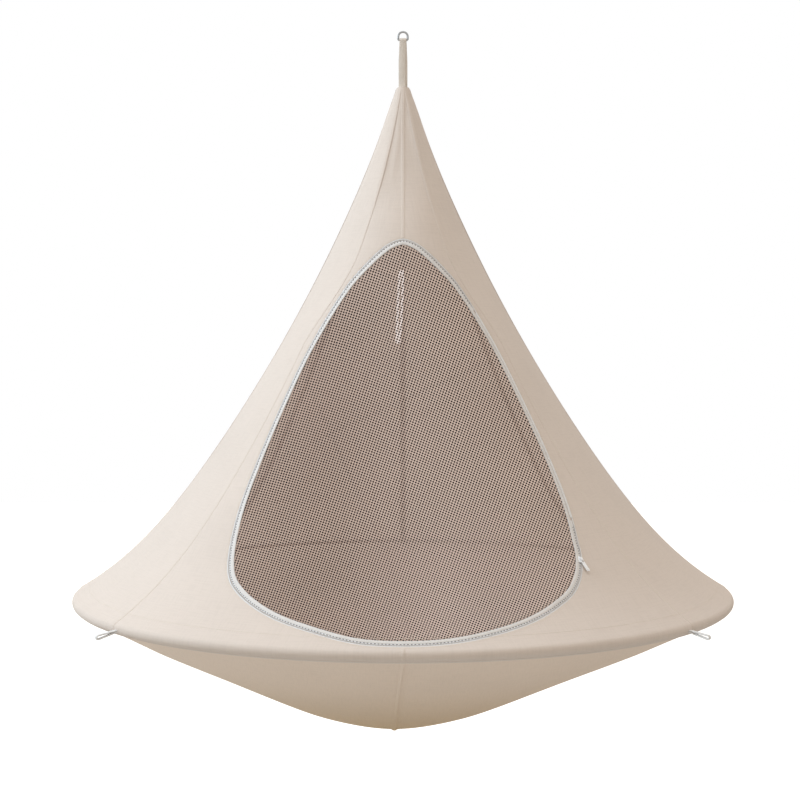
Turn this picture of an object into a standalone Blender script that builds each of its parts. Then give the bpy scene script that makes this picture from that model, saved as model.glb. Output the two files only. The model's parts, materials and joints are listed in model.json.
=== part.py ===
"""A round tree tent that hangs from one point.

A ring of six plug-in tubes spreads the floor. Eight canvas panels rise from the ring to a narrow
neck, four more make the bowl of the floor, and a folded strap carries the load to a small steel
hanging ring. The front has an insect screen as a door. It is sewn to the canvas along its right
side and closed by a zip along the rest of its outline.

The origin is the point where the hanging ring rests on its hook. +Z is up and the door faces -Y.
"""

import math

import bmesh
import bpy
import numpy as np
from mathutils import Matrix, Vector

# Overall sizes
RIM_OUTER_RADIUS = 0.750
HANG_TO_RIM = 1.287
HANG_TO_NECK = 0.1255
BOWL_DEPTH = 0.3044
BOWL_LEAN = -0.020
NECK_RADIUS = 0.0145

# Cloth, and the clearance kept between two pieces that touch
CANVAS = 0.0012
GAP = 0.0003
SLEEVE_CLOTH = 0.0010
WEBBING = 0.0008

# Shape of the canopy: shares of straight cone, belly and flare in the radius
CONE_SHARE = 0.522
BELLY_SHARE = 0.378
FLARE_POWER = 14
GORE_SAG_SHARE = 0.015
LANDING_DEG = 59.6

# Shape of the bowl, from the rim inwards
BOWL_RIM_POWER = 1.46
BOWL_FLOOR_POWER = 1.10
BOWL_LANDING_DEG = -80.0

# Spreader ring
TUBE_COUNT = 6
TUBE_RADIUS = 0.0095
TUBE_WALL = 0.0015
SPIGOT_LENGTH = 0.045
SPIGOT_SHOULDER = 0.0022
TUBE_SIDES = 10
RING_STATION_DEG = 7.5
SLEEVE_COUNT = 4

# Seams between the canopy panels, as azimuths from the front, and where the front ones run
NECK_SEAM_DEG = 41.0
DOOR_SEAM_DEG = 51.0
DOOR_SEAM_HEIGHT = 0.480
PANEL_COLUMNS = 8
PANEL_ROWS = 13
PANEL_ROW_POWER = 1.5
SLOPE_STEPS = 2000
CURVE_STEPS = 50
FLOOR_ROWS = 11
FLOOR_ROW_POWER = 1.35
FLOOR_STEPS = 10

# Insect screen: its outline is half of a rounded triangle, in shares of half width and height
SCREEN_HALF_WIDTH = 0.46 * RIM_OUTER_RADIUS
SCREEN_BOTTOM = 0.024
SCREEN_TOP = 0.796
SCREEN_OUTLINE_SHARES = (
    (0.00, 1.000),
    (0.27, 0.900),
    (0.52, 0.731),
    (0.71, 0.560),
    (0.87, 0.393),
    (0.97, 0.255),
    (0.995, 0.140),
    (0.92, 0.085),
    (0.69, 0.038),
    (0.34, 0.008),
)
OUTLINE_POINTS = 90
SCREEN_NET = 0.0010

# Bands round the screen, from its edge outwards
BINDING_WIDTH = 0.0100
COIL_WIDTH = 0.0016
COIL_DEPTH = 0.0016
COIL_RISE = 0.0004
COIL_SPACING = 0.0032
ZIP_TAPE_WIDTH = 0.0025
EDGE_GAP = 0.0006
HINGE_TOP_HEIGHT = 0.640
HINGE_BOTTOM_HEIGHT = 0.215
HINGE_CLEARANCE = 0.0007
HINGE_RISE = 0.0014

# Zip slider, which runs on an arc round the lower right corner of the screen
SLIDER_ARC_TOP_HEIGHT = 0.158
SLIDER_ARC_END_X = 0.42 * RIM_OUTER_RADIUS
SLIDER_ARC_STEPS = 18
SLIDER_FROM_ARC_END = 0.0480
SLIDER_LENGTH = 0.0150
SLIDER_PLATE = 0.0016
SLIDER_POST = 0.0010
SLIDER_POST_LENGTH = 0.0045
SLIDER_INNER_REACH = 0.0068
SLIDER_OUTER_REACH = 0.0031
BAIL_HEIGHT = 0.0036
BAIL_WIDTH = 0.0050
BAIL_LENGTH = 0.0080
BAIL_BAR = 0.0014
BAIL_SKEW_DEG = 28.0
PULL_LENGTH = 0.0300
PULL_WIDTH = 0.0078
PULL_THICKNESS = 0.0014
PULL_BAR = 0.0014
PULL_BAR_PLAY = 0.00035
PULL_EYE_END = 0.0066
PULL_HOLE_RADIUS = 0.0015
PULL_REST_DEG = 4.0
HOLE_SIDES = 12

# Hanging ring and strap
RING_WIRE_RADIUS = 0.0024
RING_INNER_WIDTH = 0.0168
RING_EYE_HEIGHT = 0.0140
RING_CORNER_RADIUS = 0.0030
RING_TOP_STEPS = 12
RING_CORNER_STEPS = 3
WIRE_SIDES = 8
STRAP_WIDTH = 0.0160
STRAP_THICKNESS = 0.0022
STRAP_SKEW = 0.0022
STRAP_SKEW_SHARE = 0.45
STRAP_CLOSING = 0.010
STRAP_PARTING = 0.020
STRAP_MOUTH_SHARE = 0.9
STRAP_SEWN_LENGTH = 0.085
STRAP_SEWN_STEPS = 5
STRAP_BEND_STEPS = 8

# Neck lining, seam tapes
LINING_LENGTH = 0.088
LINING_TOP = 0.002
LINING_COLUMNS = 24
LINING_ROWS = 5
TAPE_WIDTH = 0.014
TAPE_START_DROP = 0.095
TAPE_STOP_FROM_RIM = 0.013

# Tie loops on the rim
LOOP_AZIMUTHS_DEG = {
    "front_left": -50.0,
    "front_right": 50.0,
    "rear_left": -130.0,
    "rear_right": 130.0,
}
LOOP_DROOP_DEG = 22.0
LOOP_LENGTH = 0.050
LOOP_TAPE_WIDTH = 0.0070
LOOP_TAPE_THICKNESS = 0.0026
LOOP_EYE_WIDTH = 0.0056
LOOP_ROOT_RADIUS = 0.0031
LOOP_STEPS = 22
LOOP_ROOT_DEG = -20.0

# Loop that hangs inside from the neck, for a lantern
LANTERN_PIVOT_DROP = 0.036
LANTERN_LENGTH = 0.552
LANTERN_EYE_LENGTH = 0.170
LANTERN_EYE_WIDTH = 0.0172
LANTERN_TAPE_WIDTH = 0.0056
LANTERN_THICKNESS = 0.0012
LANTERN_FLAME_POWER = 0.85
LANTERN_ROWS = 22
LANTERN_STRAIGHTS = 3
LANTERN_BAR_RADIUS = 0.0020
BAR_END_PLAY = 1.6 * GAP

OVERRUN = 0.010
CUT_REACH = 0.004
CUTTER_BACK_Y = 2 * NECK_RADIUS
MERGE_DISTANCE = GAP / 10
FACET_ROOM = 0.0010
FULL_TURN = 2 * math.pi

NECK_HEIGHT = HANG_TO_RIM - HANG_TO_NECK
SLEEVE_RADIUS = TUBE_RADIUS + GAP + SLEEVE_CLOTH
RING_RADIUS = RIM_OUTER_RADIUS - SLEEVE_RADIUS
CLOTH_SEAT = SLEEVE_RADIUS + GAP + CANVAS
CANOPY_FOOT_RADIUS = RING_RADIUS + CLOTH_SEAT * math.cos(math.radians(LANDING_DEG))
CANOPY_FOOT_HEIGHT = CLOTH_SEAT * math.sin(math.radians(LANDING_DEG))
BOWL_EDGE_RADIUS = RING_RADIUS + CLOTH_SEAT * math.cos(math.radians(BOWL_LANDING_DEG))
BOWL_EDGE_HEIGHT = CLOTH_SEAT * math.sin(math.radians(BOWL_LANDING_DEG))
SLIDER_PLATE_LOW = COIL_RISE + GAP
BAIL_TOP = SLIDER_PLATE_LOW + SLIDER_PLATE + BAIL_HEIGHT
BAR_DROP = -RING_EYE_HEIGHT - RING_WIRE_RADIUS


def clear_scene():
    for old in list(bpy.data.objects):
        bpy.data.objects.remove(old)


def material(name, colour, roughness, metallic=0.0):
    made = bpy.data.materials.new(name)
    made.use_nodes = True
    shader = made.node_tree.nodes["Principled BSDF"]
    shader.inputs["Base Color"].default_value = (*colour, 1.0)
    shader.inputs["Roughness"].default_value = roughness
    shader.inputs["Metallic"].default_value = metallic
    made.diffuse_color = (*colour, 1.0)
    return made


def finish(name, mesh_builder, look, smooth_deg=40.0):
    """Makes a named object of a bmesh, in the tent's own frame."""
    mesh = bpy.data.meshes.new(name)
    mesh_builder.to_mesh(mesh)
    mesh_builder.free()
    mesh.shade_smooth()
    mesh.set_sharp_from_angle(angle=math.radians(smooth_deg))
    made = bpy.data.objects.new(name, mesh)
    bpy.context.collection.objects.link(made)
    mesh.materials.append(look)
    return made


def thicken(made, thickness):
    """Gives an open sheet its thickness, inwards from its outer face."""
    wall = made.modifiers.new("cloth thickness", "SOLIDIFY")
    wall.thickness = thickness
    wall.offset = -1.0
    wall.use_even_offset = True
    return made


def sheet(name, columns, rows, place, thickness, look, closed=False):
    """A cloth panel: a flat grid whose points are set by place(across, along), both from 0 to 1."""
    grid = bmesh.new()
    bmesh.ops.create_grid(grid, x_segments=columns, y_segments=rows, size=0.5)
    for point in grid.verts:
        point.co = place(point.co.x + 0.5, point.co.y + 0.5)
    if closed:
        bmesh.ops.remove_doubles(grid, verts=grid.verts, dist=MERGE_DISTANCE)
    return thicken(finish(name, grid, look), thickness)


def solid_along(name, sections, look, closed=False):
    """A solid whose cross-sections, each a loop of as many points, are joined one after another."""
    build = bmesh.new()
    loops = [[build.verts.new(point) for point in section] for section in sections]
    pairs = list(zip(loops, loops[1:]))
    if closed:
        pairs.append((loops[-1], loops[0]))
    else:
        build.faces.new(loops[0])
        build.faces.new(loops[-1])
    for first, second in pairs:
        for k in range(len(first)):
            build.faces.new((first[k - 1], first[k], second[k], second[k - 1]))
    bmesh.ops.recalc_face_normals(build, faces=build.faces)
    return finish(name, build, look)


def canopy_radius(height):
    """Outer radius of the canopy at a height above the ring's plane."""
    share = (NECK_HEIGHT - height) / (NECK_HEIGHT - CANOPY_FOOT_HEIGHT)
    share = min(max(share, 0.0), 1.0)
    flare_share = 1.0 - CONE_SHARE - BELLY_SHARE
    swell = CONE_SHARE * share + BELLY_SHARE * share**2 + flare_share * share**FLARE_POWER
    return NECK_RADIUS + (CANOPY_FOOT_RADIUS - NECK_RADIUS) * swell


def cylinder_point(azimuth, radius, height):
    """Azimuth is 0 at the front, -Y, and grows towards +X."""
    x = radius * math.sin(azimuth)
    y = -radius * math.cos(azimuth)
    return Vector((x, y, height - HANG_TO_RIM))


def canopy_normal(azimuth, height):
    step = NECK_HEIGHT / SLOPE_STEPS
    slope = (canopy_radius(height + step) - canopy_radius(height - step)) / (2 * step)
    outward = Vector((math.sin(azimuth), -math.cos(azimuth), -slope))
    return outward.normalized()


def front_seam(height):
    """Azimuth of the two front side seams, which swing out past the door."""
    share = (NECK_HEIGHT - height) / (NECK_HEIGHT - DOOR_SEAM_HEIGHT)
    share = min(max(share, 0.0), 1.0)
    eased = share * share * (3 - 2 * share)
    return math.radians(NECK_SEAM_DEG + (DOOR_SEAM_DEG - NECK_SEAM_DEG) * eased)


def constant_seam(degrees):
    return lambda height: math.radians(degrees)


def height_along(share):
    """Heights from the rim to the neck, closer together on the flare."""
    return CANOPY_FOOT_HEIGHT + (NECK_HEIGHT - CANOPY_FOOT_HEIGHT) * share**PANEL_ROW_POWER


def gore(name, left_seam, right_seam, sag_share, look):
    """One canopy panel between two seams, drawn in a little between them."""

    def place(across, along):
        height = height_along(along)
        radius = canopy_radius(height)
        half_gap = GAP / 2 / radius
        left = left_seam(height) + half_gap
        right = right_seam(height) - half_gap
        drawn_in = sag_share * math.sin(math.pi * along) * (1 - (2 * across - 1) ** 2)
        return cylinder_point(left + (right - left) * across, radius * (1 - drawn_in), height)

    return sheet(name, PANEL_COLUMNS, PANEL_ROWS, place, CANVAS, look)


def front_surface_point(x, height):
    """The point of the canopy's front that lies at x, seen from the front."""
    radius = canopy_radius(height)
    return cylinder_point(math.asin(x / radius), radius, height)


def smooth_closed(keys):
    """Close points on a closed Catmull-Rom curve through the key points."""
    dense = []
    total = len(keys)
    for k in range(total):
        before, start, end, after = (keys[(k + j) % total] for j in (-1, 0, 1, 2))
        for t in np.arange(CURVE_STEPS) / CURVE_STEPS:
            curve = 2 * start + (end - before) * t
            curve = curve + (2 * before - 5 * start + 4 * end - after) * t**2
            curve = curve + (3 * start - before - 3 * end + after) * t**3
            dense.append(curve / 2)
    return dense


def evenly_spaced(points, count):
    """The closed line through the points, cut into equal lengths from its first point."""
    ring = np.array([*points, points[0]])
    run = np.concatenate([[0.0], np.cumsum(np.linalg.norm(np.diff(ring, axis=0), axis=1))])
    marks = np.linspace(0.0, run[-1], count, endpoint=False)
    return [Vector(np.interp(m, run, ring[:, axis]) for axis in range(3)) for m in marks]


def screen_edge():
    """The screen's edge on the cloth: from the top, clockwise seen from outside."""
    tall = SCREEN_TOP - SCREEN_BOTTOM
    right = [
        np.array([share_x * SCREEN_HALF_WIDTH, SCREEN_BOTTOM + share_z * tall])
        for share_x, share_z in SCREEN_OUTLINE_SHARES
    ]
    bottom = [np.array([0.0, SCREEN_BOTTOM])]
    left = [np.array([-x, height]) for x, height in reversed(right[1:])]
    on_cloth = [front_surface_point(x, height) for x, height in smooth_closed(right + bottom + left)]
    return evenly_spaced(on_cloth, OUTLINE_POINTS)


class Path:
    """A closed line on the canopy with, at each point, its outward side and surface normal."""

    def __init__(self, points, sides, normals):
        self.points = points
        self.sides = sides
        self.normals = normals

    def at(self, index, out, rise):
        k = index % len(self.points)
        return self.points[k] + self.sides[k] * out + self.normals[k] * rise


def surface_frame(point, ahead, behind):
    height = point.z + HANG_TO_RIM
    azimuth = math.atan2(point.x, -point.y)
    normal = canopy_normal(azimuth, height)
    along = (ahead - behind).normalized()
    side = normal.cross(along).normalized()
    return side, normal


def offset_path(points, out):
    """The path moved outwards over the surface and set back on it."""
    total = len(points)
    moved = []
    for k, point in enumerate(points):
        side, _ = surface_frame(point, points[(k + 1) % total], points[k - 1])
        target = point + side * out
        moved.append(front_surface_point(target.x, target.z + HANG_TO_RIM))
    return moved


def dropped_on_cloth(point):
    """The point moved squarely onto the canopy's surface."""
    beside = front_surface_point(point.x, point.z + HANG_TO_RIM)
    normal = canopy_normal(math.atan2(beside.x, -beside.y), beside.z + HANG_TO_RIM)
    return point - normal * (point - beside).dot(normal)


def surface_path(points):
    total = len(points)
    frames = [
        surface_frame(points[k], points[(k + 1) % total], points[k - 1]) for k in range(total)
    ]
    return Path(points, [f[0] for f in frames], [f[1] for f in frames])


def nearest(points, chosen):
    return min(range(len(points)), key=lambda k: chosen(points[k]))


def circle_through(a, b, c):
    """Centre and unit axis of the circle through three points."""
    ab = b - a
    ac = c - a
    axis = ab.cross(ac)
    centre = a + (ac.length_squared * axis.cross(ab) + ab.length_squared * ac.cross(axis)) / (
        2 * axis.length_squared
    )
    return centre, axis.normalized()


def zip_line():
    """The line midway between the zip's two rows, with an exact arc at the lower right corner."""
    half_way = GAP + BINDING_WIDTH + EDGE_GAP + COIL_WIDTH + COIL_SPACING / 2
    points = offset_path(screen_edge(), half_way)
    right_half = points[: len(points) // 2]
    first = nearest(right_half, lambda p: abs(p.z + HANG_TO_RIM - SLIDER_ARC_TOP_HEIGHT))
    last = nearest(
        right_half, lambda p: abs(p.x - SLIDER_ARC_END_X) + max(p.z - points[first].z, 0.0)
    )
    centre, axis = circle_through(points[first], points[(first + last) // 2], points[last])
    start = points[first] - centre
    if axis.dot(start.cross(points[last] - centre)) < 0:
        axis = -axis
    sweep = start.angle(points[last] - centre)
    spokes = [
        Matrix.Rotation(sweep * k / SLIDER_ARC_STEPS, 3, axis) @ start
        for k in range(SLIDER_ARC_STEPS + 1)
    ]
    arc = [centre + spoke for spoke in spokes]
    path = surface_path(points[:first] + arc + points[last + 1 :])
    outward = axis if axis.dot(path.normals[first]) > 0 else -axis
    for k, spoke in enumerate(spokes):
        path.sides[first + k] = spoke.normalized()
        path.normals[first + k] = outward
    return path, first, centre, axis, sweep


def band(name, paths, start, stop, inner, outer, top, thickness, look):
    """A flat strip along part of a path, between two distances out from it."""
    count = stop - start
    inner_path, outer_path = paths

    def place(across, along):
        index = start + round(along * count)
        if across < 0.5:
            return outer_path.at(index, outer, top)
        return inner_path.at(index, inner, top)

    return sheet(name, 1, count, place, thickness, look, closed=count == len(inner_path.points))


def cutter(name, path, out):
    """A cutter whose wall crosses the cloth squarely along a path, then runs on to front and back."""
    total = len(path.points)
    outer = [path.at(k, out, CUT_REACH) for k in range(total)]
    inner = [path.at(k, out, -CUT_REACH) for k in range(total)]
    front = [Vector((p.x, -RIM_OUTER_RADIUS - OVERRUN, p.z)) for p in outer]
    back = [Vector((p.x, -CUTTER_BACK_Y, p.z)) for p in inner]
    made = solid_along(name, [front, outer, inner, back], LOOKS["canvas"])
    made.hide_render = True
    made.display_type = "WIRE"
    return made


def boolean(made, cutter, operation):
    cut = made.modifiers.new(operation.lower(), "BOOLEAN")
    cut.operation = operation
    cut.object = cutter
    cut.solver = "EXACT"


def build_canopy(opening):
    """Eight gores; the two at the front are cut open for the door."""
    look = LOOKS["canvas"]
    front_left = gore("gore_front_left", lambda h: -front_seam(h), constant_seam(0), 0.0, look)
    front_right = gore("gore_front_right", constant_seam(0), front_seam, 0.0, look)
    for made in (front_left, front_right):
        boolean(made, opening, "DIFFERENCE")
    sides = {
        "gore_left_front": (constant_seam(-90), lambda h: -front_seam(h)),
        "gore_right_front": (front_seam, constant_seam(90)),
        "gore_left_rear": (constant_seam(-135), constant_seam(-90)),
        "gore_right_rear": (constant_seam(90), constant_seam(135)),
        "gore_rear_left": (constant_seam(-180), constant_seam(-135)),
        "gore_rear_right": (constant_seam(135), constant_seam(180)),
    }
    for name, (left, right) in sides.items():
        gore(name, left, right, GORE_SAG_SHARE, look)


def seam_tape(name, seam, low, high):
    """Webbing sewn inside along a seam, bent at the same heights as the panels it joins."""
    depth = CANVAS + GAP + FACET_ROOM / 2
    bends = [height_along(k / PANEL_ROWS) for k in range(PANEL_ROWS + 1)]
    stations = [low] + [h for h in bends if low + TAPE_WIDTH / 2 < h < high - TAPE_WIDTH / 2] + [high]

    def place(across, along):
        height = stations[round(along * (len(stations) - 1))]
        radius = canopy_radius(height)
        azimuth = seam(height) + (across - 0.5) * TAPE_WIDTH / radius
        aside = abs(across - 0.5) * TAPE_WIDTH / radius
        drawn_in = 4 * GORE_SAG_SHARE * aside / (FULL_TURN / 8) * radius
        inside = canopy_normal(azimuth, height) * -(depth + drawn_in)
        return cylinder_point(azimuth, radius, height) + inside

    sheet(name, 2, len(stations) - 1, place, WEBBING, LOOKS["webbing"])


def build_seam_tapes(door_top):
    """A tape inside each canopy seam carries the load from the ring to the neck."""
    low = CANOPY_FOOT_HEIGHT + TAPE_STOP_FROM_RIM * math.cos(math.radians(LANDING_DEG))
    high = NECK_HEIGHT - TAPE_START_DROP
    seams = {
        "left_front": lambda h: -front_seam(h),
        "right_front": front_seam,
        "left": constant_seam(-90),
        "right": constant_seam(90),
        "rear_left": constant_seam(-135),
        "rear_right": constant_seam(135),
        "rear": constant_seam(180),
    }
    for name, seam in seams.items():
        seam_tape("seam_tape_" + name, seam, low, high)
    seam_tape("seam_tape_front", constant_seam(0), door_top + TAPE_WIDTH, high)


def build_neck():
    """A cone of lining inside the neck takes the ends of the strap."""

    def place(across, along):
        height = NECK_HEIGHT - LINING_TOP - LINING_LENGTH * (1 - along)
        azimuth = across * FULL_TURN
        inside = canopy_normal(azimuth, height) * -(CANVAS + GAP)
        return cylinder_point(azimuth, canopy_radius(height), height) + inside

    sheet("neck_lining", LINING_COLUMNS, LINING_ROWS, place, WEBBING, LOOKS["canvas_inner"], closed=True)


def bowl_height(radius):
    """Height of the underside of the floor below the ring's plane."""
    share = radius / BOWL_EDGE_RADIUS
    return BOWL_EDGE_HEIGHT - BOWL_DEPTH * (1 - share**BOWL_RIM_POWER) ** BOWL_FLOOR_POWER


def floor_panel(name, side_x, side_y):
    """A quarter of the bowl, turned about the axis and trimmed along its seams."""
    build = bmesh.new()
    spine = []
    for k in range(FLOOR_ROWS + 1):
        radius = BOWL_EDGE_RADIUS * (1 - (1 - k / FLOOR_ROWS) ** FLOOR_ROW_POWER)
        spine.append(build.verts.new((radius, 0.0, bowl_height(radius) - HANG_TO_RIM)))
    edges = [build.edges.new(pair) for pair in zip(spine, spine[1:])]
    bmesh.ops.spin(
        build,
        geom=spine + edges,
        cent=(0, 0, 0),
        axis=(0, 0, 1),
        angle=FULL_TURN / 4,
        steps=FLOOR_STEPS,
    )
    bmesh.ops.remove_doubles(build, verts=build.verts, dist=MERGE_DISTANCE)
    for point in build.verts:
        radius = math.hypot(point.co.x, point.co.y)
        point.co.x *= side_x
        point.co.y *= side_y
        point.co.x += BOWL_LEAN * (1 - (radius / BOWL_EDGE_RADIUS) ** 2)
    for keep, value in (("x", side_x), ("y", side_y)):
        trim_floor(build, keep, value)
    bmesh.ops.recalc_face_normals(build, faces=build.faces)
    highest = max(build.faces, key=lambda f: f.calc_center_median().z)
    if highest.normal.z > 0:
        bmesh.ops.reverse_faces(build, faces=build.faces)
    thicken(finish(name, build, LOOKS["canvas"]), CANVAS)


def trim_floor(build, keep, side):
    """Cuts half a gap off a seam edge by moving its points; the x seam leans with the bowl."""
    index = "xy".index(keep)
    for point in build.verts:
        radius = math.hypot(point.co.x, point.co.y)
        seam = BOWL_LEAN * (1 - (radius / BOWL_EDGE_RADIUS) ** 2) if keep == "x" else 0.0
        away = (point.co[index] - seam) * side
        if away < GAP / 2:
            point.co[index] += (GAP / 2 - away) * side


def build_floor():
    for name, side_x, side_y in (
        ("floor_front_left", -1, -1),
        ("floor_front_right", 1, -1),
        ("floor_rear_left", -1, 1),
        ("floor_rear_right", 1, 1),
    ):
        floor_panel(name, side_x, side_y)


def ring_line_radius(azimuth):
    """The ring's centre line, which runs straight between even stations."""
    step = math.radians(RING_STATION_DEG)
    from_middle = azimuth % step - step / 2
    return RING_RADIUS * math.cos(step / 2) / math.cos(from_middle)


def ring_section(azimuth, radius):
    """A circle across the ring's centre line."""
    circle = []
    for k in range(TUBE_SIDES):
        turn = FULL_TURN * k / TUBE_SIDES
        out = ring_line_radius(azimuth) + radius * math.cos(turn)
        circle.append(cylinder_point(azimuth, out, radius * math.sin(turn)))
    return circle


def hollow_tube(name, stations, wall, look):
    """An open-ended tube along the ring: its outer face forwards, then its inner face back."""
    outer = [ring_section(azimuth, radius) for azimuth, radius in stations]
    inner = [ring_section(azimuth, radius - wall) for azimuth, radius in reversed(stations)]
    return solid_along(name, outer + inner, look, closed=True)


def ring_stations(middle, sector, radius):
    """Places along one stretch of the ring, on the same even angles for tubes and sleeves."""
    half_gap = GAP / 2 / RING_RADIUS
    steps = round(math.degrees(sector) / RING_STATION_DEG)
    stations = [[middle - sector / 2 + sector * k / steps, radius] for k in range(steps + 1)]
    stations[0][0] += half_gap
    stations[-1][0] -= half_gap
    return stations


def build_ring():
    """Six bent tubes; a swaged spigot at one end of each plugs into the next."""
    sector = FULL_TURN / TUBE_COUNT
    spigot_radius = TUBE_RADIUS - TUBE_WALL - GAP
    for number in range(TUBE_COUNT):
        stations = ring_stations(sector * (number + 1), sector, TUBE_RADIUS)
        end = stations[-1][0]
        stations[-1][0] = end - SPIGOT_SHOULDER / RING_RADIUS
        stations += [[end, spigot_radius], [end + SPIGOT_LENGTH / RING_RADIUS, spigot_radius]]
        hollow_tube(f"ring_tube_{number + 1}", stations, TUBE_WALL, LOOKS["aluminium"])


def build_sleeves():
    """The cloth tunnel round the ring, in quarters."""
    sector = FULL_TURN / SLEEVE_COUNT
    for number, name in enumerate(("front", "right", "rear", "left")):
        stations = ring_stations(sector * number, sector, SLEEVE_RADIUS)
        hollow_tube(f"rim_sleeve_{name}", stations, SLEEVE_CLOTH, LOOKS["canvas_inner"])


def build_door(path):
    """Insect screen, its white binding, both rows of the zip and the tape behind them."""
    half = COIL_SPACING / 2
    coil_out = half + COIL_WIDTH
    binding_out = coil_out + EDGE_GAP
    binding_in = binding_out + BINDING_WIDTH
    total = len(path.points)
    right_side = [k for k in range(total // 2) if path.points[k].x > 0]
    start = nearest(
        [path.points[k] for k in right_side],
        lambda p: abs(p.z + HANG_TO_RIM - HINGE_TOP_HEIGHT),
    )
    start = right_side[start]
    hinge_end = right_side[
        nearest(
            [path.points[k] for k in right_side],
            lambda p: abs(p.z + HANG_TO_RIM - HINGE_BOTTOM_HEIGHT),
        )
    ]
    zip_from = hinge_end + 1
    zip_to = start - 1 + total
    flat = surface_path([dropped_on_cloth(p) for p in path.points])
    tape = LOOKS["white_tape"]
    coil = LOOKS["zip"]
    both = (path, path)
    seam_out = binding_out - EDGE_GAP
    band("door_binding", (flat, path), 0, total, -binding_in, -binding_out, 0.0, CANVAS, tape)
    band("zip_row_door", both, zip_from, zip_to, -coil_out, -half, COIL_RISE, COIL_DEPTH, coil)
    band("zip_row_canopy", both, zip_from, zip_to, half, coil_out, COIL_RISE, COIL_DEPTH, coil)
    band("door_side_seam", both, start, hinge_end, -seam_out, seam_out, 0.0, CANVAS, tape)
    tape_in = binding_out
    band(
        "zip_tape_canopy",
        (flat, flat),
        zip_from,
        zip_to,
        tape_in,
        tape_in + ZIP_TAPE_WIDTH,
        -(CANVAS + GAP + FACET_ROOM),
        WEBBING,
        tape,
    )
    net = sheet(
        "door_screen",
        12,
        14,
        lambda across, along: cylinder_point(
            math.radians(DOOR_SEAM_DEG) * (2 * across - 1),
            canopy_radius(SCREEN_BOTTOM / 2 + along * (SCREEN_TOP + SCREEN_BOTTOM)),
            SCREEN_BOTTOM / 2 + along * (SCREEN_TOP + SCREEN_BOTTOM),
        ),
        SCREEN_NET,
        LOOKS["net"],
    )
    boolean(net, cutter("screen_cutter", flat, -binding_in - GAP), "INTERSECT")
    opening = cutter("door_cutter", flat, binding_out)
    heights = [flat.at(k, binding_out, 0.0).z + HANG_TO_RIM for k in range(total)]
    return opening, max(heights)


class Frame:
    """A place with three directions square to each other."""

    def __init__(self, origin, along, side, up):
        self.origin = origin
        self.along = along
        self.side = side
        self.up = up

    def at(self, ahead, out, rise):
        return self.origin + self.along * ahead + self.side * out + self.up * rise

    def matrix(self):
        turned = Matrix((self.along, self.side, self.up)).transposed().to_4x4()
        turned.translation = self.origin
        return turned


def block(name, frame, centre, sizes, look):
    """A box in a frame, by its centre and its sizes along the frame's directions."""
    build = bmesh.new()
    place = frame.matrix() @ Matrix.Translation(centre) @ Matrix.Diagonal((*sizes, 1.0))
    bmesh.ops.create_cube(build, size=1.0, matrix=place)
    return finish(name, build, look)


def helper(made):
    made.hide_render = True
    made.display_type = "WIRE"
    return made


def slider_frame(path, first, centre, turn_axis):
    """The slider's place on its arc: along the zip upwards, out from the door, off the cloth."""
    up = path.normals[first]
    radius = (path.points[first] - centre).length
    turn = Matrix.Rotation(SLIDER_FROM_ARC_END / radius, 3, turn_axis)
    spot = centre + turn @ (path.points[first] - centre)
    side = (spot - centre).normalized()
    along = side.cross(up).normalized()
    if along.z < 0:
        along = -along
    return Frame(spot, along, side, up)


def bail_frame(frame):
    """The bail stands on the middle of the plate, turned a little so that the pull hangs down."""
    middle = frame.at(0, (SLIDER_OUTER_REACH - SLIDER_INNER_REACH) / 2, 0)
    skew = math.radians(BAIL_SKEW_DEG)
    along = frame.along * math.cos(skew) - frame.side * math.sin(skew)
    side = frame.side * math.cos(skew) + frame.along * math.sin(skew)
    return Frame(middle, along, side, frame.up)


def build_slider(frame, bail):
    """Front plate over both rows, back plate behind the door's row, a post between and a bail."""
    look = LOOKS["white_metal"]
    plate_mid = SLIDER_PLATE_LOW + SLIDER_PLATE / 2
    back_mid = -(COIL_DEPTH - COIL_RISE) - GAP - SLIDER_PLATE / 2
    post_out = SLIDER_POST / 2 + GAP - COIL_SPACING / 2
    plate_width = SLIDER_INNER_REACH + SLIDER_OUTER_REACH
    plate_out = (SLIDER_OUTER_REACH - SLIDER_INNER_REACH) / 2
    back_width = SLIDER_INNER_REACH + post_out + SLIDER_POST / 2
    slider = block(
        "zip_slider",
        frame,
        (0, plate_out, plate_mid),
        (SLIDER_LENGTH, plate_width, SLIDER_PLATE),
        look,
    )
    pieces = [
        block(
            "slider_back_plate",
            frame,
            (0, back_width / 2 - SLIDER_INNER_REACH, back_mid),
            (SLIDER_LENGTH, back_width, SLIDER_PLATE),
            look,
        ),
        block(
            "slider_post",
            frame,
            (SLIDER_LENGTH / 2 - SLIDER_POST_LENGTH, post_out, (plate_mid + back_mid) / 2),
            (SLIDER_POST_LENGTH, SLIDER_POST, plate_mid - back_mid),
            look,
        ),
        block(
            "bail_roof",
            bail,
            (0, 0, BAIL_TOP - BAIL_BAR / 2),
            (BAIL_LENGTH, BAIL_WIDTH, BAIL_BAR),
            look,
        ),
    ]
    for sign, place in ((-1, "lower"), (1, "upper")):
        leg_from = plate_mid
        leg_to = BAIL_TOP - BAIL_BAR / 2
        pieces.append(
            block(
                f"bail_leg_{place}",
                bail,
                (sign * (BAIL_LENGTH - BAIL_BAR) / 2, 0, (leg_from + leg_to) / 2),
                (BAIL_BAR, BAIL_WIDTH, leg_to - leg_from),
                look,
            )
        )
    for piece in pieces:
        boolean(slider, helper(piece), "UNION")


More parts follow.
